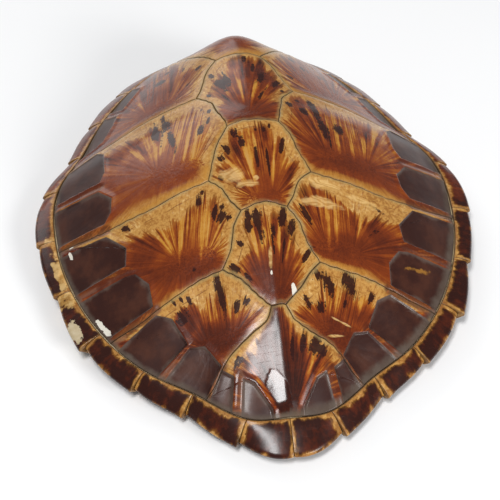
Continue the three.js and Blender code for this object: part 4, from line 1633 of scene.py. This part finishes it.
@dataclass
class BonyCarapace:
    """The fused bone beneath the horn, with its ribs and its row of vertebrae, in mm."""

    form: ShellForm
    plan: DomePlan
    rim: RimScutes
    depth: float = 2.9
    wall: float = 7.5
    hollow_drop: float = 3.7
    rib_height: float = 1.8
    rib_half_width: float = 6.0
    stations: int = 360
    top_rings: int = 70
    under_rings: int = 90
    hollow_lead: float = 2.5
    hollow_soft: float = 4.0
    gap_lead: float = 1.0
    gap_soft: float = 5.0
    gap_drop: float = 2.0
    rim_in: float = 0.2
    rim_skip: int = 4
    cavity_share: float = 0.93
    # The least painted shade on the underside.
    cavity_shade: float = 0.35
    vertebrae: int = 9
    vertebra_length: float = 40.0
    vertebra_girth: float = 6.5
    spine_head: float = 136.0
    spine_tail: float = -190.0
    rib_roots: tuple[float, ...] = (122, 84, 44, 4, -36, -74, -110, -144, -176)

    def rib_lines(self) -> list[list[Plan]]:
        """Returns the centre line of each rib of the right side, from the spine to the groove."""
        return [[(0.0, float(root)), *rib] for root, rib in zip(self.rib_roots, self.plan.ribs)]

    def make(self, finish: Material) -> Piece:
        """Builds the bone as one closed mesh.

        Args:
            finish: its material.

        Returns:
            The finished piece.
        """
        form = self.form
        half = np.linspace(0.0, len(form.ends) - 1.0, self.stations // 2 + 1)
        at = RimStations(form, np.concatenate([half, -half[1:-1][::-1]]))
        middle = np.array([0.0, form.centre_y])
        rings: list[Array] = []
        cavity: list[Array] = []
        for k in range(1, self.top_rings + 1):
            x, y = (middle + (at.groove - middle) * (k / self.top_rings)).T
            hollow = ease((self.plan.hollow_depth(x, y) + self.hollow_lead) / self.hollow_soft)
            rings.append(form.below(x, y, self.depth + self.hollow_drop * hollow))
            cavity.append(np.zeros(at.count))
        lines = []
        for k in range(at.count):
            line = self.rim.line(at.width[k], at.top[k], at.edge[k], at.foot[k], -self.rim_in)
            line = self.rim.section(line)[0][:: self.rim_skip]
            lines.append(line + inner_side(line) * self.depth)
        for line in np.swapaxes(lines, 0, 1):
            flat = at.groove + at.outwards * line[:, :1]
            rings.append(np.column_stack([flat, line[:, 1]]))
            cavity.append(np.zeros(at.count))
        ribs = self.rib_lines()
        for k in range(self.under_rings):
            share = self.cavity_share * (1 - k / self.under_rings)
            x, y = (middle + (at.groove - middle) * share).T
            near = np.min([line_distance(np.abs(x), y, line) for line in ribs], axis=0)
            rib = self.rib_height * np.exp(-((near / self.rib_half_width) ** 2))
            hollow = ease((self.plan.hollow_depth(x, y) + self.gap_lead) / self.gap_soft)
            rings.append(form.below(x, y, self.depth + self.wall + rib - self.gap_drop * hollow))
            # The underside gets painted shade, darkest in the gaps between the ribs.
            cavity.append(self.cavity_shade + (1 - self.cavity_shade) * hollow)
        crown = [0.0, form.centre_y, form.crown - self.depth]
        ceiling = [0.0, form.centre_y, form.crown - self.depth - self.wall]
        points = np.vstack([*rings, [crown], [ceiling]])
        around, levels = at.count, len(rings)
        faces = ring_faces(around, levels).tolist()
        faces += fan_faces(0, around, len(points) - 2, up=False)
        faces += fan_faces((levels - 1) * around, around, len(points) - 1)
        shade = np.concatenate([*cavity, [0.0, self.cavity_shade]])
        bone = build_mesh("bony_carapace_bone", points, faces, {"cavity": shade})
        bone.data.materials.append(finish)
        join(bone, [self._spine(finish)])
        return bone

    def _spine(self, finish: Material) -> Piece:
        """Builds the row of vertebrae along the underside, by instances on a curve.

        Args:
            finish: its material.

        Returns:
            The row as one plain mesh.
        """
        ys = np.linspace(self.spine_head, self.spine_tail, 40)
        route = self.form.below(np.zeros_like(ys), ys, self.depth + self.wall - 0.5)
        curve = bpy.data.curves.new("spine_route", "CURVE")
        curve.dimensions = "3D"
        spline = curve.splines.new("POLY")
        spline.points.add(len(route) - 1)
        spline.points.foreach_set("co", np.column_stack([route * MM, np.ones(len(route))]).ravel())
        carrier = place_object("spine", curve)
        values = {
            "Count": self.vertebrae,
            "Length": self.vertebra_length * MM,
            "Girth": self.vertebra_girth * MM,
            "Material": finish,
        }
        grow(carrier, spine_tree(), values)
        mesh = evaluated_mesh(carrier)
        bpy.data.objects.remove(carrier)
        # The vertebrae get no painted shade.
        set_field(mesh, "cavity", np.full(len(mesh.vertices), 0.2))
        smooth_mesh(mesh)
        return place_object("spine_row", mesh)


def spine_tree() -> Tree:
    """Builds the tree that sets waisted vertebrae along a curve.

    Returns:
        The tree, with inputs Count, Length, Girth and Material.
    """
    inputs = {"Geometry": SHAPE, "Count": WHOLE, "Length": FLOAT, "Girth": FLOAT, "Material": DRESS}
    sheet, source, sink = node_group("Vertebrae", "GeometryNodeTree", inputs, {"Geometry": SHAPE})
    g = source.outputs
    spots = sheet.node("GeometryNodeResampleCurve")
    sheet.wire(spots, {"Curve": g["Geometry"], "Count": g["Count"]})
    bead = sheet.node("GeometryNodeMeshCylinder")
    sheet.wire(bead, {"Vertices": 24, "Side Segments": 12, "Fill Segments": 3})
    sheet.wire(bead, {"Radius": g["Girth"], "Depth": g["Length"]})
    position = sheet.node("GeometryNodeInputPosition").outputs[0]
    half = sheet.maths("DIVIDE", sheet.parts(position)[2], g["Length"])
    waist = sheet.scaled(sheet.times(half, half), 1.7, 0.62)
    widths = sheet.wire(sheet.node("ShaderNodeCombineXYZ"), {"X": waist, "Y": waist, "Z": 1.0})
    waisted = sheet.node("GeometryNodeSetPosition")
    shaped = sheet.stretched(position, widths.outputs[0])
    sheet.wire(waisted, {"Geometry": bead.outputs["Mesh"], "Position": shaped})
    turn = sheet.node("FunctionNodeAlignRotationToVector", axis="Z")
    sheet.wire(turn, {"Vector": sheet.node("GeometryNodeInputTangent").outputs[0]})
    place = sheet.node("GeometryNodeInstanceOnPoints")
    sheet.wire(place, {"Points": spots.outputs["Curve"], "Instance": waisted.outputs["Geometry"]})
    sheet.wire(place, {"Rotation": turn.outputs["Rotation"]})
    sheet.dress(place.outputs["Instances"], g["Material"], sink)
    return sheet.tree


def join(target: Piece, others: Sequence[Piece]) -> None:
    """Joins other pieces into one."""
    chosen = [target, *others]
    with bpy.context.temp_override(
        active_object=target, object=target, selected_objects=chosen, selected_editable_objects=chosen
    ):
        bpy.ops.object.join()


# ---------------------------------------------------------------- finishes


def linear(code: str) -> tuple[float, float, float, float]:
    """Turns an sRGB colour code such as #8A4A20 into linear RGBA."""
    parts = [int(code[i : i + 2], 16) / 255 for i in (1, 3, 5)]
    rgb = [c / 12.92 if c <= 0.04045 else ((c + 0.055) / 1.055) ** 2.4 for c in parts]
    return (rgb[0], rgb[1], rgb[2], 1.0)


@dataclass(frozen=True)
class TortoiseColours:
    """Colours of tortoiseshell horn, as sRGB codes."""

    darkest: str = "#2E120B"
    mahogany: str = "#56210D"
    rust: str = "#7A3410"
    orange: str = "#965017"
    gold: str = "#B9812F"
    ochre: str = "#9A682F"
    amber: str = "#BB8B49"
    honey: str = "#D6B173"
    blotch: str = "#2C0F0B"
    seam_tan: str = "#9E8656"
    seam_dark: str = "#463626"
    slate: str = "#685E55"
    hollow: str = "#32160F"
    hollow_light: str = "#472518"
    rib_rust: str = "#52220F"
    rib_orange: str = "#8E4716"
    # The pinkish grey of the painted sheen on the rib bars.
    rib_pink: str = "#85604C"
    # The pale of bare bone in chips, also used for painted highlights.
    chip: str = "#DAD4C6"
    rim_tan: str = "#7A4A22"
    cream: str = "#DDB777"
    tan: str = "#B0823F"
    bone: str = "#CFC2A8"


# The vertex fields of the horn, and what their three numbers are. On the rim's scutes the
# zone holds nothing, the fading and the grime, and blotch is the bare edge.
HORN_FIELDS: dict[str, tuple[str, str, str]] = {
    "growth": ("band", "blotch", "firm"),
    "hue": ("warmth", "glint", "ahead"),
    "wear": ("first", "inset", "seed"),
    "zone": ("zone_x", "zone_y", "zone_z"),
}


class TortoiseRays:
    """The shader group for horn that fans out from a growth focus."""

    STOPS = {
        "darkest": 0.2,
        "mahogany": 0.34,
        "rust": 0.46,
        "orange": 0.57,
        "gold": 0.68,
        "amber": 0.82,
    }

    def __init__(self, colours: TortoiseColours) -> None:
        """Builds the group.

        Args:
            colours: the colours to use.
        """
        c = {key: linear(value) for key, value in vars(colours).items()}
        numbers = ("Band", "Blotch", "Warmth", "Glint", "Contrast", "Seed", "Raggedness", "Softness")
        inputs = {"Ray": VECTOR, "Place": VECTOR, **dict.fromkeys(numbers, FLOAT)}
        outputs = {"Colour": COLOUR, "Amber": FLOAT, "Blotch": FLOAT, "Streak": FLOAT}
        sheet, source, sink = node_group("Tortoise rays", "ShaderNodeTree", inputs, outputs)
        g = source.outputs
        # The body: streaks along the rays, warmer or darker, with amber glints.
        fine = sheet.noise(g["Ray"], 16.0, 4.0, g["Seed"], 0.6)
        broad = sheet.noise(g["Ray"], 6.5, 3.0, g["Seed"], 0.5)
        patch = sheet.noise(g["Place"], 60.0, 5.0, g["Seed"], 0.62)
        grain = sheet.noise(g["Place"], 330.0, 3.0, None, 0.6)
        sway = sheet.plus(sheet.about(fine, 1.15), sheet.about(broad, 0.8))
        sway = sheet.plus(sway, sheet.about(patch, 0.45))
        level = sheet.plus(sheet.scaled(sway, g["Contrast"], 0.47), g["Warmth"])
        level = sheet.plus(level, sheet.plus(sheet.about(grain, 0.08), sheet.about(patch, 0.1)))
        glint = sheet.plus(g["Glint"], sheet.plus(sheet.about(fine, 1.6), sheet.about(patch, 1.2)))
        level = sheet.scaled(sheet.step(glint, -0.4, 1.0), 0.2, level)
        ramp = sheet.node("ShaderNodeValToRGB")
        for index, (key, position) in enumerate(self.STOPS.items()):
            stops = ramp.color_ramp.elements
            stop = stops[index] if index < 2 else stops.new(position)
            stop.position, stop.color = position, c[key]
        sheet.feed(ramp.inputs[0], level)
        body = ramp.outputs[0]
        # The amber border, which runs into the body in ragged fingers, or softly in calm horn.
        patchy = sheet.noise(g["Place"], 42.0, 3.0, g["Seed"], 0.5)
        fingers = sheet.plus(sheet.about(broad, 0.6), sheet.about(patchy, 0.16))
        fingers = sheet.plus(sheet.about(fine, 0.55), fingers)
        blur = sheet.times(sheet.step(g["Contrast"], 0.6, 0.2), g["Softness"])
        ragged = sheet.times(g["Raggedness"], sheet.scaled(blur, -0.8, 1.0))
        reach = sheet.scaled(fingers, ragged, g["Band"])
        reach = sheet.plus(reach, sheet.about(grain, 0.2))
        soft = sheet.step(reach, -1.1, 0.5)
        low = sheet.scaled(blur, -0.9, -0.12)
        crisp = sheet.step(reach, low, sheet.scaled(blur, 0.7, 0.16))
        tint = sheet.plus(sheet.times(patch, 0.55), sheet.times(grain, 0.45))
        gold = sheet.blend(sheet.step(tint, 0.4, 0.52), c["ochre"], c["amber"])
        gold = sheet.blend(sheet.step(tint, 0.52, 0.66), gold, c["honey"])
        gold = sheet.blend(sheet.times(blur, 0.6), gold, c["gold"])
        colour = sheet.blend(sheet.times(soft, 0.42), body, c["gold"])
        colour = sheet.blend(sheet.times(crisp, 0.92), colour, gold)
        # Rust flecks in the amber, and torn dark blotches over everything.
        fleck = sheet.noise(g["Ray"], 40.0, 3.0, sheet.plus(g["Seed"], 5.0), 0.6)
        fleck = sheet.plus(sheet.times(fleck, 0.6), sheet.times(patch, 0.4))
        fleck = sheet.times(sheet.step(fleck, 0.52, 0.59), sheet.times(crisp, 0.42))
        colour = sheet.blend(fleck, colour, c["rust"])
        torn = sheet.plus(g["Blotch"], sheet.plus(sheet.about(fine, 3.2), sheet.about(patch, 2.8)))
        torn = sheet.plus(torn, sheet.about(grain, 1.5))
        dark = sheet.step(torn, 0.5, 0.78)
        colour = sheet.blend(sheet.times(dark, 0.97), colour, c["blotch"])
        streak = sheet.plus(fine, sheet.about(grain, 0.3))
        sheet.wire(sink, {"Colour": colour, "Amber": crisp, "Blotch": dark, "Streak": streak})
        self.tree = sheet.tree


class VarnishWear:
    """The shader group for rubbed varnish: uneven gloss, scratches and dust in the seams."""

    def __init__(self) -> None:
        """Builds the group."""
        inputs = {"Place": VECTOR, "Inset": FLOAT, "Gloss": FLOAT, "Spread": FLOAT}
        outputs = {"Roughness": FLOAT, "Height": FLOAT, "Dust": FLOAT}
        sheet, source, sink = node_group("Varnish wear", "ShaderNodeTree", inputs, outputs)
        g = source.outputs
        cloud = sheet.noise(g["Place"], 28.0, 4.0, None, 0.55)
        grit = sheet.noise(g["Place"], 900.0, 2.0, None, 0.5)
        scratch = sheet.noise(sheet.stretched(g["Place"], (1.0, 14.0, 1.0)), 60.0, 4.0, None, 0.7)
        line = sheet.step(scratch, 0.62, 0.66)
        rough = sheet.plus(g["Gloss"], sheet.about(cloud, g["Spread"]))
        rough = sheet.plus(rough, sheet.times(line, 0.08), clamp=True)
        height = sheet.plus(sheet.times(cloud, 0.6), sheet.times(grit, 0.05))
        height = sheet.minus(height, sheet.times(line, 0.04))
        dust = sheet.step(sheet.plus(g["Inset"], sheet.times(cloud, 1.2)), 1.7, 0.5)
        sheet.wire(sink, {"Roughness": rough, "Height": height, "Dust": dust})
        self.tree = sheet.tree


@dataclass(frozen=True)
class HornFinish:
    """Varnished horn: its gloss, coat and the raggedness of its colour borders."""

    name: str
    gloss: float = 0.27
    spread: float = 0.2
    coat: float = 0.18
    coat_roughness: float = 0.2
    ior: float = 1.54
    specular: float = 0.2
    bump_strength: float = 0.55
    bump_depth: float = 0.6
    ragged: float = 7.5
    contrast: float = 0.75
    softness: float = 1.0

    def _start(self, rays: TortoiseRays, wear: VarnishWear) -> tuple[Material, Sheet, dict[str, Socket]]:
        """Starts the material and wires what both kinds of horn share.

        Args:
            rays: the ray group.
            wear: the wear group.

        Returns:
            The material, its sheet and the sockets that the colour is made from.
        """
        material, sheet, _ = new_material(self.name)
        s = {"place": sheet.object_place()}
        for key, names in HORN_FIELDS.items():
            s.update(zip(names, sheet.parts(sheet.attribute(key))))
        horn = sheet.node("ShaderNodeGroup", node_tree=rays.tree)
        sheet.wire(horn, {"Ray": sheet.attribute("ray"), "Place": s["place"], "Seed": s["seed"]})
        sheet.wire(horn, {"Band": s["band"], "Warmth": s["warmth"], "Glint": s["glint"]})
        contrast = sheet.scaled(s["ahead"], self.contrast, self.contrast * 0.25)
        sheet.wire(horn, {"Contrast": contrast, "Raggedness": self.ragged, "Softness": self.softness})
        rubbed = sheet.node("ShaderNodeGroup", node_tree=wear.tree)
        sheet.wire(rubbed, {"Place": s["place"], "Inset": s["inset"]})
        sheet.wire(rubbed, {"Gloss": self.gloss, "Spread": self.spread})
        s.update({name.lower(): horn.outputs[name] for name in ("Colour", "Amber", "Streak")})
        s.update({name.lower(): rubbed.outputs[name] for name in ("Roughness", "Height", "Dust")})
        s["horn_blotch"] = horn.inputs["Blotch"]
        return material, sheet, s

    def _end(
        self, material: Material, sheet: Sheet, colour: Socket, rough: Socket, height: Socket
    ) -> Material:
        """Sets the Principled BSDF.

        Args:
            material: the material.
            sheet: its sheet.
            colour: the base colour.
            rough: the roughness.
            height: the fine height.

        Returns:
            The material.
        """
        shader = material.node_tree.nodes["Principled BSDF"]
        sheet.wire(shader, {"Base Color": colour, "Roughness": rough, "IOR": self.ior})
        sheet.wire(shader, {"Coat Weight": self.coat, "Coat Roughness": self.coat_roughness})
        sheet.wire(shader, {"Specular IOR Level": self.specular})
        sheet.emboss(shader, height, self.bump_strength, self.bump_depth)
        return material

    def dome(self, rays: TortoiseRays, wear: VarnishWear, colours: TortoiseColours) -> Material:
        """Makes the finish of the dome's scutes.

        Args:
            rays: the ray group.
            wear: the wear group.
            colours: the horn's colours.

        Returns:
            The material.
        """
        c = {key: linear(value) for key, value in vars(colours).items()}
        material, sheet, s = self._start(rays, wear)
        sheet.feed(s["horn_blotch"], s["blotch"])
        cloud = sheet.noise(s["place"], 90.0, 4.0, None, 0.6)
        # A tan edge along the seams and a fine growth line inside the border.
        ragged = sheet.about(cloud, 7.0)
        edge = sheet.plus(s["inset"], ragged)
        tan = sheet.times(sheet.step(edge, 4.0, 0.5), sheet.scaled(s["ahead"], 0.4, 0.25))
        colour = sheet.blend(tan, s["colour"], c["seam_tan"])
        line = sheet.maths("ABSOLUTE", sheet.minus(sheet.scaled(ragged, 0.25, s["inset"]), 11.0))
        line = sheet.times(sheet.step(line, 0.75, 0.2), sheet.step(cloud, 0.42, 0.6))
        colour = sheet.blend(sheet.times(line, sheet.times(s["ahead"], 0.6)), colour, c["mahogany"])
        # Rusty bars over the ribs, with a pinkish painted sheen on the bars' rear sides, strongest on the
        # left, and the dark hollows between them.
        hollow_edge = sheet.scaled(sheet.minus(cloud, 0.5), 0.1, s["zone_x"])
        inside = sheet.step(hollow_edge, -0.03, 0.05)
        rib = sheet.step(sheet.plus(s["zone_y"], sheet.about(s["streak"], 0.8)), 0.3, 0.6)
        veil = sheet.noise(s["place"], 38.0, 4.0, None, 0.6)
        chip, slick, rear = sheet.parts(sheet.attribute("loss"))
        rib_colour = sheet.blend(sheet.step(s["streak"], 0.5, 0.66), c["rib_rust"], c["rib_orange"])
        # Painted sheen: pinkish grey on the rear side of each rib bar, strongest on the left where the
        # light falls.
        painted_sheen = sheet.times(sheet.step(veil, 0.4, 0.54), rear)
        rib_colour = sheet.blend(sheet.times(painted_sheen, 0.6), rib_colour, c["rib_pink"])
        colour = sheet.blend(sheet.times(rib, 0.8), colour, rib_colour)
        pit = sheet.blend(sheet.step(veil, 0.4, 0.7), c["hollow"], c["hollow_light"])
        film = sheet.step(sheet.scaled(sheet.minus(veil, 0.5), -1.3, hollow_edge), 0.34, -0.05)
        pit = sheet.blend(sheet.times(film, 0.42), pit, c["slate"])
        fleck = sheet.plus(s["glint"], sheet.about(cloud, 6.0))
        pit = sheet.blend(sheet.times(sheet.step(fleck, 0.5, 1.5), 0.5), pit, c["gold"])
        colour = sheet.blend(inside, colour, pit)
        # Grime in the gutter, its band wider on the right side as painted light, pale flaked layers with
        # wavy folds, chips and dust.
        grime = sheet.step(sheet.plus(s["zone_z"], sheet.about(cloud, 0.8)), 0.25, 1.0)
        dirt = sheet.blend(cloud, c["seam_dark"], c["slate"])
        colour = sheet.blend(sheet.times(grime, 0.75), colour, dirt)
        wave = sheet.noise(sheet.stretched(s["place"], (0.7, 1.8, 1.0)), 40.0, 2.0, None, 0.5)
        flake = sheet.step(sheet.plus(s["first"], sheet.about(cloud, 1.6)), 0.5, 1.0)
        fold = sheet.maths("PINGPONG", sheet.times(wave, 9.0), 0.5)
        pale = sheet.blend(sheet.scaled(sheet.step(fold, 0.08, 0.34), 0.7, 0.25), c["tan"], c["cream"])
        colour = sheet.blend(sheet.times(flake, 0.68), colour, pale)
        # Chips show bare bone; the two on the fourth vertebral are painted highlights.
        chip = sheet.step(sheet.plus(chip, sheet.about(cloud, 2.4)), 0.6, 0.75)
        colour = sheet.blend(chip, colour, c["chip"])
        colour = sheet.blend(sheet.times(s["dust"], 0.7), colour, c["seam_dark"])
        # Gloss and fine height, both calmer where a layer has come off.
        rough = sheet.plus(s["roughness"], sheet.times(inside, 0.12))
        rough = sheet.plus(rough, sheet.times(sheet.maths("MAXIMUM", grime, s["dust"]), 0.35))
        rough = sheet.plus(rough, sheet.times(flake, 0.1))
        slick = sheet.step(slick, 0.5, 0.64)
        rough = sheet.minus(rough, sheet.times(slick, 0.14), clamp=True)
        grain = sheet.times(s["streak"], sheet.scaled(slick, -0.14, 0.16))
        calm = sheet.scaled(slick, -0.7, 1.0)
        height = sheet.plus(sheet.times(s["height"], calm), grain)
        height = sheet.minus(height, sheet.times(flake, 0.5))
        return self._end(material, sheet, colour, rough, height)

    def rim(self, rays: TortoiseRays, wear: VarnishWear, colours: TortoiseColours) -> Material:
        """Makes the finish of the marginal scutes.

        Args:
            rays: the ray group.
            wear: the wear group.
            colours: the horn's colours.

        Returns:
            The material.
        """
        c = {key: linear(value) for key, value in vars(colours).items()}
        material, sheet, s = self._start(rays, wear)
        sheet.feed(s["horn_blotch"], -1.0)
        cloud = sheet.noise(s["place"], 110.0, 4.0, None, 0.6)
        # Tan wear on the amber, and cream where the scute has faded.
        faded = sheet.step(sheet.plus(s["zone_y"], sheet.about(cloud, 3.0)), 0.1, 0.5)
        worn = sheet.times(s["amber"], sheet.step(cloud, 0.62, 0.4))
        colour = sheet.blend(sheet.times(worn, 0.6), s["colour"], c["rim_tan"])
        pale = sheet.blend(sheet.step(cloud, 0.4, 0.62), c["tan"], c["cream"])
        colour = sheet.blend(sheet.times(faded, 0.7), colour, pale)
        # Grime in the groove, the bare broken edge and dust.
        grime = sheet.step(sheet.plus(s["zone_z"], sheet.about(cloud, 0.8)), 0.4, 0.8)
        colour = sheet.blend(sheet.times(grime, 0.6), colour, c["seam_dark"])
        bare = sheet.step(sheet.plus(s["blotch"], sheet.about(cloud, 1.6)), 0.66, 0.74)
        colour = sheet.blend(bare, colour, sheet.blend(cloud, c["bone"], c["seam_tan"]))
        colour = sheet.blend(sheet.times(s["dust"], 0.55), colour, c["seam_dark"])
        matt = sheet.times(sheet.maths("MAXIMUM", bare, grime), 0.4)
        rough = sheet.plus(s["roughness"], matt, clamp=True)
        height = sheet.minus(s["height"], sheet.times(bare, 2.0))
        return self._end(material, sheet, colour, rough, height)


@dataclass(frozen=True)
class BoneFinish:
    """Dry bone: cream and porous, with painted shade in the recesses of its underside."""

    name: str = "shell_bone"
    pale: str = "#CDBB98"
    tan: str = "#A98A5E"
    dark: str = "#5A4330"

    def make(self) -> Material:
        """Returns the material."""
        material, sheet, shader = new_material(self.name)
        pale, tan, dark = map(linear, (self.pale, self.tan, self.dark))
        place = sheet.object_place()
        broad = sheet.noise(place, 22.0, 5.0, None, 0.6)
        pores = sheet.noise(place, 620.0, 3.0, None, 0.6)
        fibre = sheet.noise(sheet.stretched(place, (1.0, 7.0, 1.0)), 55.0, 4.0, None, 0.65)
        colour = sheet.blend(sheet.step(broad, 0.35, 0.7), pale, tan)
        colour = sheet.blend(sheet.times(sheet.step(fibre, 0.5, 0.75), 0.4), colour, tan)
        colour = sheet.blend(sheet.times(sheet.step(pores, 0.58, 0.7), 0.55), colour, dark)
        # Painted shade: the underside, and most of all its gaps between the ribs, is blended towards the
        # dark colour.
        painted_recess = sheet.attribute("cavity", "Fac")
        colour = sheet.blend(sheet.times(sheet.step(painted_recess, 0.5, 1.0), 0.6), colour, dark)
        sheet.wire(shader, {"Base Color": colour, "Roughness": sheet.scaled(broad, 0.2, 0.62)})
        sheet.emboss(shader, sheet.minus(fibre, sheet.times(pores, 0.5)), 0.7, 0.8)
        return material


# ---------------------------------------------------------------- studio


@dataclass
class Studio:
    """A plain pale floor, soft light and the camera."""

    azimuth: float = -7.324
    elevation: float = 47.07
    roll: float = 0.406
    distance: float = 1.466
    aim_right: float = -0.00518
    aim_up: float = -0.00936
    aim_y: float = 0.001
    lens_pixels: float = 1436.0
    frame_pixels: float = 500.0
    sensor: float = 36.0
    floor_half: float = 6.0

    def camera(self) -> Piece:
        """Makes the camera and returns it."""
        e, a, roll = map(math.radians, (self.elevation, self.azimuth, self.roll))
        back = Vector((math.sin(a) * math.cos(e), -math.cos(a) * math.cos(e), math.sin(e)))
        right = Vector((math.cos(a), math.sin(a), 0.0))
        up = back.cross(right)
        right_rolled = right * math.cos(roll) + up * math.sin(roll)
        up_rolled = up * math.cos(roll) - right * math.sin(roll)
        data = bpy.data.cameras.new("camera")
        data.sensor_width = self.sensor
        data.lens = self.sensor * self.lens_pixels / self.frame_pixels
        camera = place_object("camera", data)
        turn = Matrix((right_rolled, up_rolled, back)).transposed().to_4x4()
        spot = Vector((0.0, self.aim_y, 0.0)) + back * self.distance
        spot += right_rolled * self.aim_right + up_rolled * self.aim_up
        camera.matrix_world = Matrix.Translation(spot) @ turn
        bpy.context.scene.camera = camera
        return camera

    def light(
        self,
        name: str,
        towards: tuple[float, float, float],
        size: float,
        power: float,
        away: float,
        tall: float = 0.7,
    ) -> None:
        """Hangs a soft light.

        Args:
            name: its name.
            towards: the direction from the shell to the light.
            size: its side in metres.
            power: its power in watts.
            away: its distance in metres.
            tall: its height as a share of its width.
        """
        data = bpy.data.lights.new(name, "AREA")
        data.shape = "RECTANGLE"
        data.size = size
        data.size_y = size * tall
        data.energy = power
        lamp = place_object(name, data)
        way = Vector(towards).normalized()
        lamp.location = way * away
        lamp.rotation_euler = way.to_track_quat("Z", "Y").to_euler()

    def build(self) -> None:
        """Sets up the floor, the lights, the surround and the view."""
        size = self.floor_half
        corners = [(-size, -size, 0), (size, -size, 0), (size, size, 0), (-size, size, 0)]
        mesh = bpy.data.meshes.new("floor")
        mesh.from_pydata(corners, [], [(0, 1, 2, 3)])
        floor = place_object("floor", mesh)
        paper, sheet, shader = new_material("pale_paper")
        mottle = sheet.noise(sheet.object_place(), 3.0, 2.0)
        pale = sheet.blend(mottle, (0.9, 0.9, 0.9, 1.0), (0.93, 0.93, 0.93, 1.0))
        sheet.wire(shader, {"Base Color": pale, "Roughness": 0.9, "Specular IOR Level": 0.1})
        mesh.materials.append(paper)
        world = bpy.data.worlds.new("surround")
        world.use_nodes = True
        sky = world.node_tree.nodes["Background"]
        Sheet(world.node_tree).wire(sky, {"Color": (0.93, 0.96, 1.0, 1.0), "Strength": 0.24})
        bpy.context.scene.world = world
        self.light("key", (-0.19, -0.4, 0.9), 0.65, 80.0, 3.6, 1.6)
        self.light("fill", (0.6, -0.8, 0.55), 1.3, 64.0, 3.6)
        self.light("back", (-0.3, 0.9, 0.45), 3.0, 46.0, 3.8)
        bpy.context.scene.view_settings.view_transform = "Standard"
        self.camera()


# ---------------------------------------------------------------- assembly


def main() -> None:
    """Builds the shell piece by piece and logs each piece's face count."""
    logging.basicConfig(level=logging.INFO, format="%(message)s")
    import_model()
    Studio().build()
    form = ShellForm()
    plan = DomePlan(form)
    relief = HornRelief()
    colours = TortoiseColours()
    rays, wear = TortoiseRays(colours), VarnishWear()
    dome_finish = HornFinish("dome_horn").dome(rays, wear, colours)
    rim_look = HornFinish("rim_horn", gloss=0.26, ragged=9.5, contrast=0.3, softness=0.0)
    rim_finish = rim_look.rim(rays, wear, colours)
    rim = RimScutes(form, relief)
    bone = BonyCarapace(form, plan, rim).make(BoneFinish().make())
    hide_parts("bony_carapace")
    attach(bone, "root")
    LOG.info("bony_carapace: %d faces", len(bone.data.polygons))
    for name, piece in DomeScutes(form, plan, relief).make(dome_finish):
        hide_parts(name)
        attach(piece, "root")
        LOG.info("%s: %d faces", name, len(piece.data.polygons))
    for name, piece in rim.make(rim_finish):
        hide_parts(name)
        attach(piece, "root")
        LOG.info("%s: %d faces", name, len(piece.data.polygons))
    bpy.context.view_layer.update()


if __name__ == "__main__":
    main()
